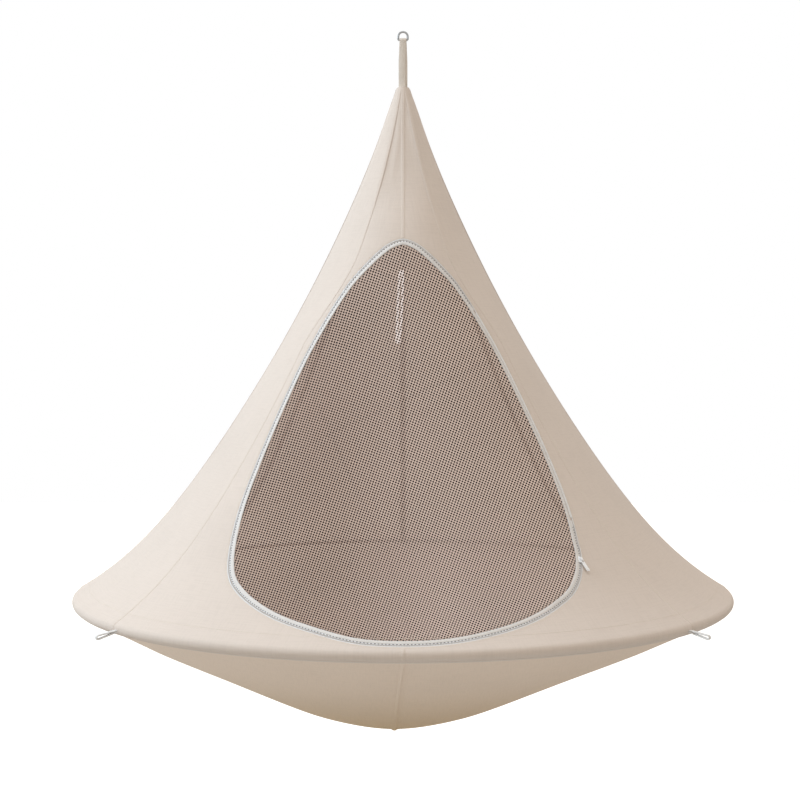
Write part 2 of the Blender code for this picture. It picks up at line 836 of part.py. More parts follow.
def pull_frame(bail):
    """The pull turns about its top bar, which passes under the roof of the bail."""
    ahead = PULL_BAR / 2 + PULL_BAR_PLAY - BAIL_LENGTH / 2 + BAIL_BAR
    rise = (SLIDER_PLATE_LOW + SLIDER_PLATE + BAIL_TOP - BAIL_BAR) / 2
    pivot = bail.at(ahead, 0, rise)
    lift = Matrix.Rotation(math.radians(PULL_REST_DEG), 3, bail.side)
    down = lift @ -bail.along
    if down.dot(bail.up) < 0:
        down = lift.transposed() @ -bail.along
    return Frame(pivot, down, bail.side, down.cross(bail.side).normalized())


def build_pull(frame):
    """A flat tab with a wide eye for the bail and a small hole at its free end."""
    look = LOOKS["white_metal"]
    tab = block(
        "zip_pull",
        frame,
        ((PULL_LENGTH - PULL_BAR) / 2, 0, 0),
        (PULL_LENGTH, PULL_WIDTH, PULL_THICKNESS),
        look,
    )
    eye_middle = (PULL_BAR / 2 + PULL_EYE_END) / 2
    eye = block(
        "pull_eye",
        frame,
        (eye_middle, 0, 0),
        (PULL_EYE_END - PULL_BAR / 2, BAIL_WIDTH + 2 * GAP, 2 * PULL_THICKNESS),
        look,
    )
    build = bmesh.new()
    bmesh.ops.create_cone(
        build,
        cap_ends=True,
        segments=HOLE_SIDES,
        radius1=PULL_HOLE_RADIUS,
        radius2=PULL_HOLE_RADIUS,
        depth=2 * PULL_THICKNESS,
        matrix=frame.matrix() @ Matrix.Translation((PULL_LENGTH - PULL_WIDTH / 2, 0, 0)),
    )
    hole = finish("pull_hole", build, look)
    for cut in (eye, hole):
        boolean(tab, helper(cut), "DIFFERENCE")


def build_hanging_ring():
    """A D-shaped ring of bent wire; the strap turns on its straight bar."""
    half_width = RING_INNER_WIDTH / 2 + RING_WIRE_RADIUS
    top_centre = RING_WIRE_RADIUS - half_width
    corner_x = half_width - RING_CORNER_RADIUS
    corner_z = BAR_DROP + RING_CORNER_RADIUS
    bends = (
        (0.0, top_centre, half_width, 0.0, 180.0, RING_TOP_STEPS),
        (-corner_x, corner_z, RING_CORNER_RADIUS, 180.0, 270.0, RING_CORNER_STEPS),
        (corner_x, corner_z, RING_CORNER_RADIUS, 270.0, 360.0, RING_CORNER_STEPS),
    )
    sections = []
    for middle_x, middle_z, radius, start, stop, steps in bends:
        for k in range(steps + 1):
            angle = math.radians(start + (stop - start) * k / steps)
            outward = Vector((math.cos(angle), 0.0, math.sin(angle)))
            spot = Vector((middle_x, 0.0, middle_z)) + outward * radius
            wire = []
            for j in range(WIRE_SIDES):
                turn = FULL_TURN * j / WIRE_SIDES
                wire.append(
                    spot
                    + outward * RING_WIRE_RADIUS * math.cos(turn)
                    + Vector((0.0, RING_WIRE_RADIUS * math.sin(turn), 0.0))
                )
            sections.append(wire)
    return solid_along("hanging_ring", sections, LOOKS["steel"], closed=True)


def strap_seat(height):
    """Distance from the axis at which the strap's edges rest on the neck lining."""
    lining_inside = canopy_radius(height) - CANVAS - GAP - WEBBING - FACET_ROOM
    half_width = STRAP_WIDTH / 2 + STRAP_SKEW
    return math.sqrt(lining_inside**2 - half_width**2) - STRAP_THICKNESS / 2


def strap_leg():
    """(distance from the middle, z) down one leg of the strap, from the bar to its lower end."""
    together = STRAP_THICKNESS / 2 + GAP
    neck_z = -HANG_TO_NECK
    leg = [
        (together, BAR_DROP - STRAP_CLOSING),
        (together, neck_z + STRAP_PARTING),
        (strap_seat(NECK_HEIGHT) * STRAP_MOUTH_SHARE, neck_z),
    ]
    for k in range(1, STRAP_SEWN_STEPS + 1):
        depth = STRAP_SEWN_LENGTH * k / STRAP_SEWN_STEPS
        leg.append((strap_seat(NECK_HEIGHT - depth), neck_z - depth))
    return leg


def build_strap():
    """One length of webbing: up inside the neck, over the ring's bar and down again."""
    bend = RING_WIRE_RADIUS + GAP + STRAP_THICKNESS / 2
    leg = strap_leg()
    line = [(-y, z) for y, z in reversed(leg)]
    for k in range(STRAP_BEND_STEPS + 1):
        angle = math.pi * (1 - k / STRAP_BEND_STEPS)
        line.append((bend * math.cos(angle), BAR_DROP + bend * math.sin(angle)))
    line += leg
    sections = []
    for k, (y, z) in enumerate(line):
        ahead_y, ahead_z = line[min(k + 1, len(line) - 1)]
        behind_y, behind_z = line[max(k - 1, 0)]
        step = Vector((0.0, ahead_y - behind_y, ahead_z - behind_z)).normalized()
        off = Vector((0.0, -step.z, step.y)) * STRAP_THICKNESS / 2
        fall = max((BAR_DROP - z) / (BAR_DROP + HANG_TO_NECK), 0.0)
        shift = math.copysign(STRAP_SKEW, y) * min(fall / STRAP_SKEW_SHARE, 1.0)
        middle = Vector((shift, y, z))
        half = Vector((STRAP_WIDTH / 2, 0.0, 0.0))
        corners = [(-half, -off), (half, -off), (half, off), (-half, off)]
        sections.append([middle + wide + thick for wide, thick in corners])
    return solid_along("hanger_strap", sections, LOOKS["strap"])


def loop_sections(frame, outline, steps, wall, breadth):
    """Cross-sections round a flat band whose outer outline is given as (along, side) points."""
    points = [Vector(outline(k / steps)) for k in range(steps)]
    sections = []
    for k, point in enumerate(points):
        step = (points[(k + 1) % steps] - points[k - 1]).normalized()
        inwards = Vector((-step.y, step.x)) * wall
        inner = point + inwards
        corners = [
            (point.x, point.y, breadth / 2),
            (point.x, point.y, -breadth / 2),
            (inner.x, inner.y, -breadth / 2),
            (inner.x, inner.y, breadth / 2),
        ]
        sections.append([frame.at(*corner) for corner in corners])
    return sections


def teardrop(length, near, far):
    """An anticlockwise outline of two arcs joined by straights; the near arc touches the origin."""
    apart = length - near - far
    lean = math.asin((far - near) / apart)
    straight = apart * math.cos(lean)
    far_turn = math.pi + 2 * lean
    near_turn = math.pi - 2 * lean
    marks = np.cumsum([straight, far * far_turn, straight, near * near_turn])

    def on_arc(middle, radius, angle):
        return middle + radius * math.cos(angle), radius * math.sin(angle)

    def point(share):
        run = share * marks[-1]
        if run < marks[0]:
            from_x, from_y = on_arc(near, near, -far_turn / 2)
            return from_x + run * math.cos(lean), from_y - run * math.sin(lean)
        if run < marks[1]:
            return on_arc(length - far, far, (run - marks[0]) / far - far_turn / 2)
        if run < marks[2]:
            back = run - marks[1]
            from_x, from_y = on_arc(length - far, far, far_turn / 2)
            return from_x - back * math.cos(lean), from_y - back * math.sin(lean)
        return on_arc(near, near, (run - marks[2]) / near + far_turn / 2)

    return point


def loop_frame(azimuth):
    """The root of a tie loop on the rim's seam, pointing outwards and down."""
    away = SLEEVE_RADIUS
    tilt = math.radians(LOOP_ROOT_DEG)
    root = cylinder_point(
        azimuth,
        ring_line_radius(azimuth) + away * math.cos(tilt),
        away * math.sin(tilt),
    )
    outward = Vector((math.sin(azimuth), -math.cos(azimuth), 0.0))
    droop = math.radians(LOOP_DROOP_DEG)
    along = outward * math.cos(droop) + Vector((0.0, 0.0, -math.sin(droop)))
    tangent = Vector((math.cos(azimuth), math.sin(azimuth), 0.0))
    return Frame(root, along, tangent.cross(along), tangent)


def build_tie_loops():
    """Four closed loops of tape, sewn to the rim, for guy lines."""
    for name, degrees in LOOP_AZIMUTHS_DEG.items():
        frame = loop_frame(math.radians(degrees))
        far_radius = LOOP_EYE_WIDTH / 2 + LOOP_TAPE_THICKNESS
        outline = teardrop(LOOP_LENGTH, LOOP_ROOT_RADIUS, far_radius)
        sections = loop_sections(frame, outline, LOOP_STEPS, LOOP_TAPE_THICKNESS, LOOP_TAPE_WIDTH)
        solid_along("tie_loop_" + name, sections, LOOKS["white_tape"], closed=True)


def lantern_half_width(drop):
    """Two strands side by side that part into an eye shaped like a flame."""
    eye = max((drop - LANTERN_LENGTH + LANTERN_EYE_LENGTH) / LANTERN_EYE_LENGTH, 0.0)
    parted = LANTERN_EYE_WIDTH * math.sin(math.pi * eye**LANTERN_FLAME_POWER)
    return (LANTERN_TAPE_WIDTH + parted) / 2


def build_lantern_loop():
    """A long tape loop that swings on a short bar between the two legs of the strap."""
    pivot = Vector((0.0, 0.0, -HANG_TO_NECK - LANTERN_PIVOT_DROP))
    frame = Frame(pivot, Vector((0, 0, -1)), Vector((1, 0, 0)), Vector((0, -1, 0)))
    straight = LANTERN_LENGTH - LANTERN_EYE_LENGTH
    drops = [LANTERN_TAPE_WIDTH] + [straight * k / LANTERN_STRAIGHTS for k in range(1, LANTERN_STRAIGHTS)]
    drops += [straight + LANTERN_EYE_LENGTH * k / LANTERN_ROWS for k in range(LANTERN_ROWS)]
    outline = [(0.0, 0.0)]
    outline += [(drop, -lantern_half_width(drop)) for drop in drops]
    outline += [(LANTERN_LENGTH, 0.0)]
    outline += [(drop, lantern_half_width(drop)) for drop in reversed(drops)]
    strand = (LANTERN_TAPE_WIDTH - GAP) / 2
    total = len(outline)
    sections = loop_sections(
        frame, lambda share: outline[round(share * total)], total, strand, LANTERN_THICKNESS
    )
    tape = solid_along("lantern_loop", sections, LOOKS["white_tape"], closed=True)
    bar_height = NECK_HEIGHT - LANTERN_PIVOT_DROP + LANTERN_BAR_RADIUS
    half_length = strap_seat(bar_height) - STRAP_THICKNESS / 2 - BAR_END_PLAY
    build = bmesh.new()
    bmesh.ops.create_cone(
        build,
        cap_ends=True,
        segments=HOLE_SIDES,
        radius1=LANTERN_BAR_RADIUS,
        radius2=LANTERN_BAR_RADIUS,
        depth=2 * half_length,
        matrix=Matrix.Translation(pivot) @ Matrix.Rotation(math.pi / 2, 4, "X"),
    )
    boolean(tape, helper(finish("lantern_bar", build, LOOKS["white_tape"])), "UNION")
    return pivot


def say(name, point, axis):
    """Prints a joint's place and direction, for the record."""
    place = ", ".join(f"{value:.5f}" for value in point)
    direction = ", ".join(f"{value:.5f}" for value in axis.normalized())
    print(f"{name}: pos [{place}] axis [{direction}]")


LOOKS = {}


def make_looks():
    LOOKS["canvas"] = material("canvas", (0.76, 0.68, 0.58), 0.9)
    LOOKS["canvas_inner"] = material("canvas_inner", (0.66, 0.58, 0.48), 0.9)
    LOOKS["webbing"] = material("webbing", (0.70, 0.64, 0.55), 0.85)
    LOOKS["strap"] = material("strap", (0.78, 0.70, 0.62), 0.85)
    LOOKS["white_tape"] = material("white_tape", (0.86, 0.85, 0.84), 0.75)
    LOOKS["net"] = material("net", (0.32, 0.25, 0.21), 0.8)
    LOOKS["zip"] = material("zip", (0.66, 0.66, 0.67), 0.5)
    LOOKS["aluminium"] = material("aluminium", (0.80, 0.81, 0.82), 0.35, 1.0)
    LOOKS["steel"] = material("steel", (0.62, 0.61, 0.60), 0.3, 1.0)
    LOOKS["white_metal"] = material("white_metal", (0.82, 0.83, 0.85), 0.35)


def door_axis(path):
    """A straight line just outside the bulge of the door's sewn side, above its face."""
    right = [k for k in range(len(path.points) // 2) if path.points[k].x > 0]
    heights = [path.points[k] for k in right]
    top = right[nearest(heights, lambda p: abs(p.z + HANG_TO_RIM - HINGE_TOP_HEIGHT))]
    low = right[nearest(heights, lambda p: abs(p.z + HANG_TO_RIM - HINGE_BOTTOM_HEIGHT))]
    along = (path.points[top] - path.points[low]).normalized()
    aside = along.cross(path.normals[(top + low) // 2]).normalized()
    bulge = max(range(top, low + 1), key=lambda k: path.points[k].dot(aside))
    door_edge = COIL_SPACING / 2 + COIL_WIDTH + EDGE_GAP
    return path.at(bulge, HINGE_CLEARANCE - door_edge, HINGE_RISE), along


def main():
    clear_scene()
    make_looks()
    path, first, centre, axis, sweep = zip_line()
    opening, door_top = build_door(path)
    build_canopy(opening)
    build_neck()
    build_floor()
    build_ring()
    build_sleeves()
    build_seam_tapes(door_top)
    slider = slider_frame(path, first, centre, axis)
    bail = bail_frame(slider)
    build_slider(slider, bail)
    pull = pull_frame(bail)
    build_pull(pull)
    build_hanging_ring()
    build_strap()
    build_tie_loops()
    lantern_pivot = build_lantern_loop()
    say("hanging_pivot", Vector((0, 0, BAR_DROP)), Vector((1, 0, 0)))
    say("door_hinge", *door_axis(path))
    say("slider_turn", centre, axis)
    say("pull_hinge", pull.origin, -pull.side)
    say("lantern_swing", lantern_pivot, Vector((0, 1, 0)))
    for name, degrees in LOOP_AZIMUTHS_DEG.items():
        loop = loop_frame(math.radians(degrees))
        say(f"loop_{name}", loop.at(LOOP_ROOT_RADIUS, 0, 0), loop.up)
    arc_radius = (path.points[first] - centre).length
    print(f"slider sweep {math.degrees(sweep):.2f} degrees, arc radius {arc_radius:.5f}")


main()
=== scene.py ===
# %% [markdown]
# The tree tent, dressed.
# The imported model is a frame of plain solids: gores, a bowl, a ring in a sleeve, a door, a strap.
# This lesson loads that frame and gives each soft piece the cloth, folds and thread of the real one.
# %% load the frame
import json
from math import asin, atan2, copysign, cos, exp, hypot, pi, radians, sin, sqrt

import bmesh
import bpy
import numpy as np
from mathutils import Matrix, Vector

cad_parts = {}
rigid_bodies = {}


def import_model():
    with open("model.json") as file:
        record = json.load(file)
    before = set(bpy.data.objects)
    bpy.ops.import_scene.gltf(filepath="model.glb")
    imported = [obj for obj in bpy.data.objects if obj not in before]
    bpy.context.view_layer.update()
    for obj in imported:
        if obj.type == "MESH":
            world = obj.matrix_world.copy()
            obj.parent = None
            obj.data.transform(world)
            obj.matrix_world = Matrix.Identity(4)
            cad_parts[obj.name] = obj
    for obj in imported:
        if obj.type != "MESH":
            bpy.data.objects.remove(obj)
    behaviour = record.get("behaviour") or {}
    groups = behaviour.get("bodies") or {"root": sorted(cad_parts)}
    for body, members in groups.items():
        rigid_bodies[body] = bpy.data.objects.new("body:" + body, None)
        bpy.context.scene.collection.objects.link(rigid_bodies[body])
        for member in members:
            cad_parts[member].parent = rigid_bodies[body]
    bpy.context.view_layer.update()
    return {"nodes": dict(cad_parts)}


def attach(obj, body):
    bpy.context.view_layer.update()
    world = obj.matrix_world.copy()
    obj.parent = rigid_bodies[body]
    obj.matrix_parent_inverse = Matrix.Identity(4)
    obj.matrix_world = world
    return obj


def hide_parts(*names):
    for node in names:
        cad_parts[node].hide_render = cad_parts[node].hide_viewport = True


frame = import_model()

# %% [markdown]
# The camera comes first, so that every later piece can be set against the photograph. It stands three and
# a half metres in front of the tent, a little above the door, and looks slightly down. A long lens keeps
# the rim nearly level, as it is in the picture.
# %% camera
camera_data = bpy.data.cameras.new("camera")
camera_data.lens = 68.08
camera_data.sensor_width = 36.0
camera_data.shift_x = -0.00375
camera = bpy.data.objects.new("camera", camera_data)
camera.location = (0.0, -3.5, -0.727)
camera.rotation_euler = (radians(88.101), 0.0, 0.0)
bpy.context.scene.collection.objects.link(camera)
bpy.context.scene.camera = camera
bpy.context.scene.view_settings.view_transform = "Standard"

# %% [markdown]
# The tent's own shape is a line turned about the axis: a cone that bellies out and then flares on to the
# ring. The same few numbers shape the solids, so they are written again here, in metres. Heights are
# taken from the ring's plane. An azimuth of nought is the front, and it grows to the right.
# %% shape of the canopy and the bowl
HANG_TO_RIM = 1.287
NECK_HEIGHT = 1.1615
NECK_RADIUS = 0.0145
RING_RADIUS = 0.7392
CLOTH_FROM_RING = 0.0123
CANVAS = 0.0012
LANDING = radians(59.6)
BOWL_LANDING = radians(-80.0)
FOOT_RADIUS = RING_RADIUS + CLOTH_FROM_RING * cos(LANDING)
FOOT_HEIGHT = CLOTH_FROM_RING * sin(LANDING)
BOWL_EDGE_RADIUS = RING_RADIUS + CLOTH_FROM_RING * cos(BOWL_LANDING)
BOWL_EDGE_HEIGHT = CLOTH_FROM_RING * sin(BOWL_LANDING)
BOWL_DEPTH = 0.3044
BOWL_BELLY = 1.46
BOWL_TIP = 1.10
BOWL_LEAN = -0.020
BOWL_TIGHT = 0.0065


def clamp(value, low=0.0, high=1.0):
    return min(max(value, low), high)


def ease(share):
    share = clamp(share)
    return share * share * (3.0 - 2.0 * share)


def canopy_radius(height):
    share = clamp((NECK_HEIGHT - height) / (NECK_HEIGHT - FOOT_HEIGHT))
    swell = 0.522 * share + 0.378 * share**2 + 0.100 * share**14
    return NECK_RADIUS + (FOOT_RADIUS - NECK_RADIUS) * swell


def turned(azimuth, radius, height):
    return Vector((radius * sin(azimuth), -radius * cos(azimuth), height - HANG_TO_RIM))


def canopy_normal(azimuth, height):
    slope = (canopy_radius(height + 0.0006) - canopy_radius(height - 0.0006)) / 0.0012
    return Vector((sin(azimuth), -cos(azimuth), -slope)).normalized()


def bowl_height(radius):
    share = clamp(radius / BOWL_EDGE_RADIUS)
    return BOWL_EDGE_HEIGHT - BOWL_DEPTH * (1.0 - share**BOWL_BELLY) ** BOWL_TIP


def bowl_point(azimuth, radius, rise=0.0):
    """A point of the bowl's underside, with a rise off it downwards and outwards."""
    slope = (bowl_height(radius + 0.0005) - bowl_height(radius - 0.0005)) / 0.001
    normal = Vector((sin(azimuth) * slope, -cos(azimuth) * slope, -1.0)).normalized()
    # Halfway out the cloth is drawn a little tighter than the solid's profile.
    tight = BOWL_TIGHT * sin(pi * clamp((radius - 0.22) / 0.38)) ** 1.2
    point = turned(azimuth, radius, bowl_height(radius) + tight)
    point.x += BOWL_LEAN * (1.0 - (radius / BOWL_EDGE_RADIUS) ** 2)
    return point + normal * rise


# %% [markdown]
# Eight gores meet at eight seams. Six seams run straight down; the two beside the door swing outwards
# past it. Cloth under tension draws in a little between its seams, and it keeps a few soft folds near the
# neck, where the pull of the whole tent comes together. Each fold is a line of places, as azimuth in
# degrees and height, and then a width and a rise. A fold with a rise below nought is a hollow.
# %% seams, sag and folds
SEAM_NAMES = ("rear", "rear_left", "left", "left_front", "front", "right_front", "right", "rear_right")
FRONT_GORES = (3, 4)
SIDE_SEAM_FOOT = 51.0
SIDE_SEAM_DRAWN = ((15.0, 0.560, 0.220), (10.0, 0.740, 0.4215))
SAG_LOW = 0.030
SAG_HIGH = 0.078
SAG_GROWS_FROM = 0.50
SAG_GROWS_OVER = 0.40
FRONT_SAG = 0.012
FRONT_FLAT = 0.60
FRONT_FLAT_FROM = 0.828
FRONT_FLAT_FADE = 0.150
FOLDS = (
    (((-12, 1.14), (-12, 1.05), (-16, 0.93)), 0.008, 0.0014),
    (((26, 1.14), (27, 1.06), (30, 0.97)), 0.008, 0.0014),
    (((-62, 1.14), (-66, 1.02), (-70, 0.84)), 0.014, 0.0022),
    (((-78, 1.10), (-78, 0.95), (-80, 0.70)), 0.018, -0.0020),
    (((64, 1.14), (66, 1.03), (72, 0.82)), 0.014, 0.0022),
    (((80, 1.10), (80, 0.95), (79, 0.72)), 0.018, -0.0020),
    (((158, 1.14), (160, 1.00), (163, 0.80)), 0.014, 0.0024),
    (((-112, 1.14), (-114, 1.00), (-116, 0.82)), 0.014, 0.0022),
    (((110, 1.14), (112, 1.01), (117, 0.80)), 0.014, 0.0022),
    (((-160, 1.12), (-158, 0.98), (-155, 0.78)), 0.016, -0.0018),
)


def seam_azimuth(number, height):
    """Azimuth of a seam, counted from the rear one round by the left."""
    if number in (3, 5):
        side = -1.0 if number == 3 else 1.0
        (first, low, over_low), (second, high, over_high) = SIDE_SEAM_DRAWN
        drawn = first * ease((height - low) / over_low) + second * clamp((height - high) / over_high)
        return side * radians(SIDE_SEAM_FOOT - drawn)
    return radians((-180, -135, -90, 0, 0, 0, 90, 135, 180)[number])


def gore_of(azimuth, height):
    """The gore that holds an azimuth, and how far across it that is, from 0 to 1."""
    for number in range(8):
        left = seam_azimuth(number, height)
        right = seam_azimuth(number + 1, height)
        if azimuth <= right or number == 7:
            return number, clamp((azimuth - left) / (right - left))


def fold_rise(azimuth, height):
    rise = 0.0
    for line, width, amount in FOLDS:
        heights = [place[1] for place in reversed(line)]
        if not heights[0] < height < heights[-1]:
            continue
        middle = radians(np.interp(height, heights, [place[0] for place in reversed(line)]))
        run = (height - heights[0]) / (heights[-1] - heights[0])
        fade = sin(pi * run) ** 0.8
        aside = (azimuth - middle) * canopy_radius(height) / width
        rise += amount * fade * exp(-aside * aside)
    return rise


def canvas_point(azimuth, height, rise=0.0):
    """A point of the canopy's outer face, with its sag and folds, and a rise off it."""
    number, across = gore_of(azimuth, height)
    along = clamp((height - FOOT_HEIGHT) / (NECK_HEIGHT - FOOT_HEIGHT)) ** (1 / 1.5)
    deepest = SAG_LOW + (SAG_HIGH - SAG_LOW) * ease((height - SAG_GROWS_FROM) / SAG_GROWS_OVER)
    sag = deepest * sin(pi * along) ** 0.7
    flat = 0.0
    if number in FRONT_GORES:
        # The two front gores lie true below the door's top, so that the zip stays flat on them.
        above = ease((height - FRONT_FLAT_FROM) / FRONT_FLAT_FADE) * ease((NECK_HEIGHT - height) / 0.080)
        sag = FRONT_SAG * above
        # Above it they are pulled flat from ridge to ridge.
        flat = FRONT_FLAT * above * (1.0 - cos(seam_azimuth(5, height)) / cos(azimuth))
    drawn_in = flat + sag * (1.0 - (2.0 * across - 1.0) ** 2)
    radius = canopy_radius(height) * (1.0 - drawn_in)
    lift = rise + fold_rise(azimuth, height)
    return turned(azimuth, radius, height) + canopy_normal(azimuth, height) * lift


def cloth_normal(azimuth, height):
    """The direction off the cloth with its sag counted, which on a ridge is the middle of its two sides."""
    aside = 0.006 / canopy_radius(height)
    across = canvas_point(azimuth + aside, height) - canvas_point(azimuth - aside, height)
    along = canvas_point(azimuth, height + 0.003) - canvas_point(azimuth, height - 0.003)
    return across.cross(along).normalized()


def rim_point(azimuth, angle, rise=0.0):
    """A point on the cloth that wraps the ring, by the angle round the tube."""
    away = CLOTH_FROM_RING + rise
    return turned(azimuth, RING_RADIUS + away * cos(angle), away * sin(angle))


# %% [markdown]
# Three helpers make nearly every piece. The first lays a grid and moves its points to a place of our
# choosing. The second sweeps a small cross-section along a line, which makes tape, binding, strap and
# wire. The third repeats a tiny shape along a line, which makes stitches and the teeth of the zip.
# %% helpers for cloth grids
def lay_grid(columns, rows, place, flat, close=False):
    """A grid of cloth. place gives each point in space and flat its place in the cut cloth, in metres."""
    build = bmesh.new()
    bmesh.ops.create_grid(build, x_segments=columns, y_segments=rows, size=0.5)
    spots = {}
    for point in build.verts:
        spots[point] = (round((point.co.x + 0.5) * columns), round((point.co.y + 0.5) * rows))
    layer = build.loops.layers.uv.new("cut")
    for face in build.faces:
        column = min(spots[point][0] for point in face.verts)
        for corner in face.loops:
            corner[layer].uv = flat(*spots[corner.vert], column)
    for point, spot in spots.items():
        point.co = place(*spot)
    if close:
        bmesh.ops.remove_doubles(build, verts=build.verts, dist=0.00003)
    return build


def outwards(build):
    bmesh.ops.recalc_face_normals(build, faces=build.faces)


def show(thing):
    bpy.context.scene.collection.objects.link(thing)
    return thing


def make_piece(name, build, finish, body, slot, sharp_deg=50.0, node=None):
    """Turns a bmesh into a named piece that rides on a body, in place of a node if one is named."""
    mesh = bpy.data.meshes.new(name)
    build.to_mesh(mesh)
    build.free()
    mesh.shade_smooth()
    mesh.set_sharp_from_angle(angle=radians(sharp_deg))
    piece = show(bpy.data.objects.new(name, mesh))
    mesh.materials.append(finish)
    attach(piece, body)
    if node:
        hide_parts(node)
    return piece


def cloth(name, build, finish, slot, thickness, nodes, body="tent", lining=None):
    """A sheet of cloth in place of its nodes. Its thickness goes inwards from the outer face."""
    piece = make_piece(name, build, finish, body, slot, 60.0)
    if lining:
        piece.data.materials.append(lining)
    wall = piece.modifiers.new("thickness", "SOLIDIFY")
    wall.thickness = thickness
    wall.offset = -1.0
    wall.material_offset = 1 if lining else 0
    apply_all(piece)
    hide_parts(*nodes)
    return piece


def apply_all(piece):
    """Applies what modifiers a piece has, so that the mesh holds the finished shape."""
    graph = bpy.context.evaluated_depsgraph_get()
    graph.update()
    shown = piece.evaluated_get(graph)
    made = bpy.data.meshes.new_from_object(shown, preserve_all_data_layers=True, depsgraph=graph)
    piece.modifiers.clear()
    old = piece.data
    piece.data = made
    made.name = piece.name
    bpy.data.meshes.remove(old)


# %% helpers for sweeps
def sweep(stations, section, closed=False):
    """A solid swept along stations of (origin, across, up); section is a loop of (across, up) points."""
    count = len(section)
    total = len(stations)
    rows = total if closed else total - 1
    runs = [0.0]
    for k in range(rows):
        runs.append(runs[-1] + (stations[(k + 1) % total][0] - stations[k][0]).length)
    edge = [0.0]
    for k in range(count):
        a = Vector(section[k])
        b = Vector(section[(k + 1) % count])
        edge.append(edge[-1] + (b - a).length)

    def place(i, j):
        origin, across, up = stations[j % total]
        a, b = section[i % count]
        return origin + across * a + up * b

    build = lay_grid(count, rows, place, lambda i, j, _: (edge[i], runs[j]), close=True)
    if not closed:
        bmesh.ops.holes_fill(build, edges=[e for e in build.edges if e.is_boundary], sides=0)
    outwards(build)
    return build


def swept(name, stations, section, finish, body="tent", slot="white_tape", sharp=50.0, closed=False, node=""):
    """A piece of one section along its stations: tape, binding, strap or wire."""
    return make_piece(name, sweep(stations, section, closed), finish, body, slot, sharp, node)


def rounded_section(width, thickness, steps=3):
    """The section of a tape: a rectangle with half-round edges."""
    half = width / 2 - thickness / 2
    points = []
    for side, start in ((1.0, -90.0), (-1.0, 90.0)):
        for k in range(steps + 1):
            angle = radians(start + 180.0 * k / steps)
            points.append((side * half + cos(angle) * thickness / 2, sin(angle) * thickness / 2))
    return points


def round_section(radius, sides):
    turns = [2 * pi * k / sides for k in range(sides)]
    return [(radius * cos(turn), radius * sin(turn)) for turn in turns]


def line_frames(points, ups, closed=False):
    """Stations for a sweep: each point with the direction across the line and the direction up."""
    total = len(points)
    frames = []
    for k, point in enumerate(points):
        ahead = points[(k + 1) % total] if closed or k < total - 1 else point
        behind = points[k - 1] if closed or k > 0 else point
        along = (ahead - behind).normalized()
        across = ups[k].cross(along).normalized()
        frames.append((point, across, along.cross(across).normalized()))
    return frames


# %% helpers for stitches
def run_along(line):
    """The length of a line up to each of its points."""
    return np.concatenate([[0.0], np.cumsum(np.linalg.norm(np.diff(line, axis=0), axis=1))])


def read_at(marks, run, values):
    """The values, three to a point, read at lengths along a line."""
    return np.stack([np.interp(marks, run, values[:, axis]) for axis in range(3)], axis=1)


def spaced(points, ups, pitch, closed=False):
    """Even places along a line, each as (point, along, up)."""
    line = np.array([*points, points[0]] if closed else points)
    tops = np.array([*ups, ups[0]] if closed else ups)
    run = run_along(line)
    count = max(int(run[-1] / pitch), 1)
    marks = (np.arange(count) + 0.5) * run[-1] / count
    steps = read_at(marks + pitch / 2, run, line) - read_at(marks - pitch / 2, run, line)
    found = zip(read_at(marks, run, line), steps, read_at(marks, run, tops))
    return [(Vector(at), Vector(step).normalized(), Vector(up).normalized()) for at, step, up in found]


def add_beads(build, places, size, shape="stitch"):
    """Adds a small low shape at each place: size is along, across and up."""
    for start in range(0, len(places), 32):
        batch = bmesh.new()
        for spot, along, up in places[start : start + 32]:
            across = up.cross(along).normalized()
            place = Matrix((along * size[0], across * size[1], up * size[2])).transposed().to_4x4()
            place.translation = spot
            if shape == "stitch":
                bmesh.ops.create_icosphere(batch, subdivisions=1, radius=0.5, matrix=place)
            else:
                bmesh.ops.create_cube(batch, size=1.0, matrix=place)
        if shape == "tooth":
            ease_edges(batch, batch.edges[:], 0.00022, 1)
        held = bpy.data.meshes.new("batch")
        batch.to_mesh(held)
        batch.free()
        build.from_mesh(held)
        bpy.data.meshes.remove(held)


def ease_edges(build, edges, width, steps):
    """A small round on the given edges, as a mould or a press leaves it."""
    bmesh.ops.bevel(
        build,
        geom=edges,
        offset=width,
        segments=steps,
        profile=0.5,
        affect="EDGES",
        material=-1,
        clamp_overlap=True,
    )


STITCH = (0.0036, 0.0008, 0.0007)
STITCH_PITCH = 0.0048


def stitched(name, rows, thread, body="tent", slot="canvas", closed=False, pitch=STITCH_PITCH, size=STITCH):
    """One piece of stitches. Each row is its points and the directions off the cloth."""
    build = bmesh.new()
    for points, ups in rows:
        add_beads(build, spaced(points, ups, pitch, closed), size)
    return make_piece(name, build, thread, body, slot, 45.0)


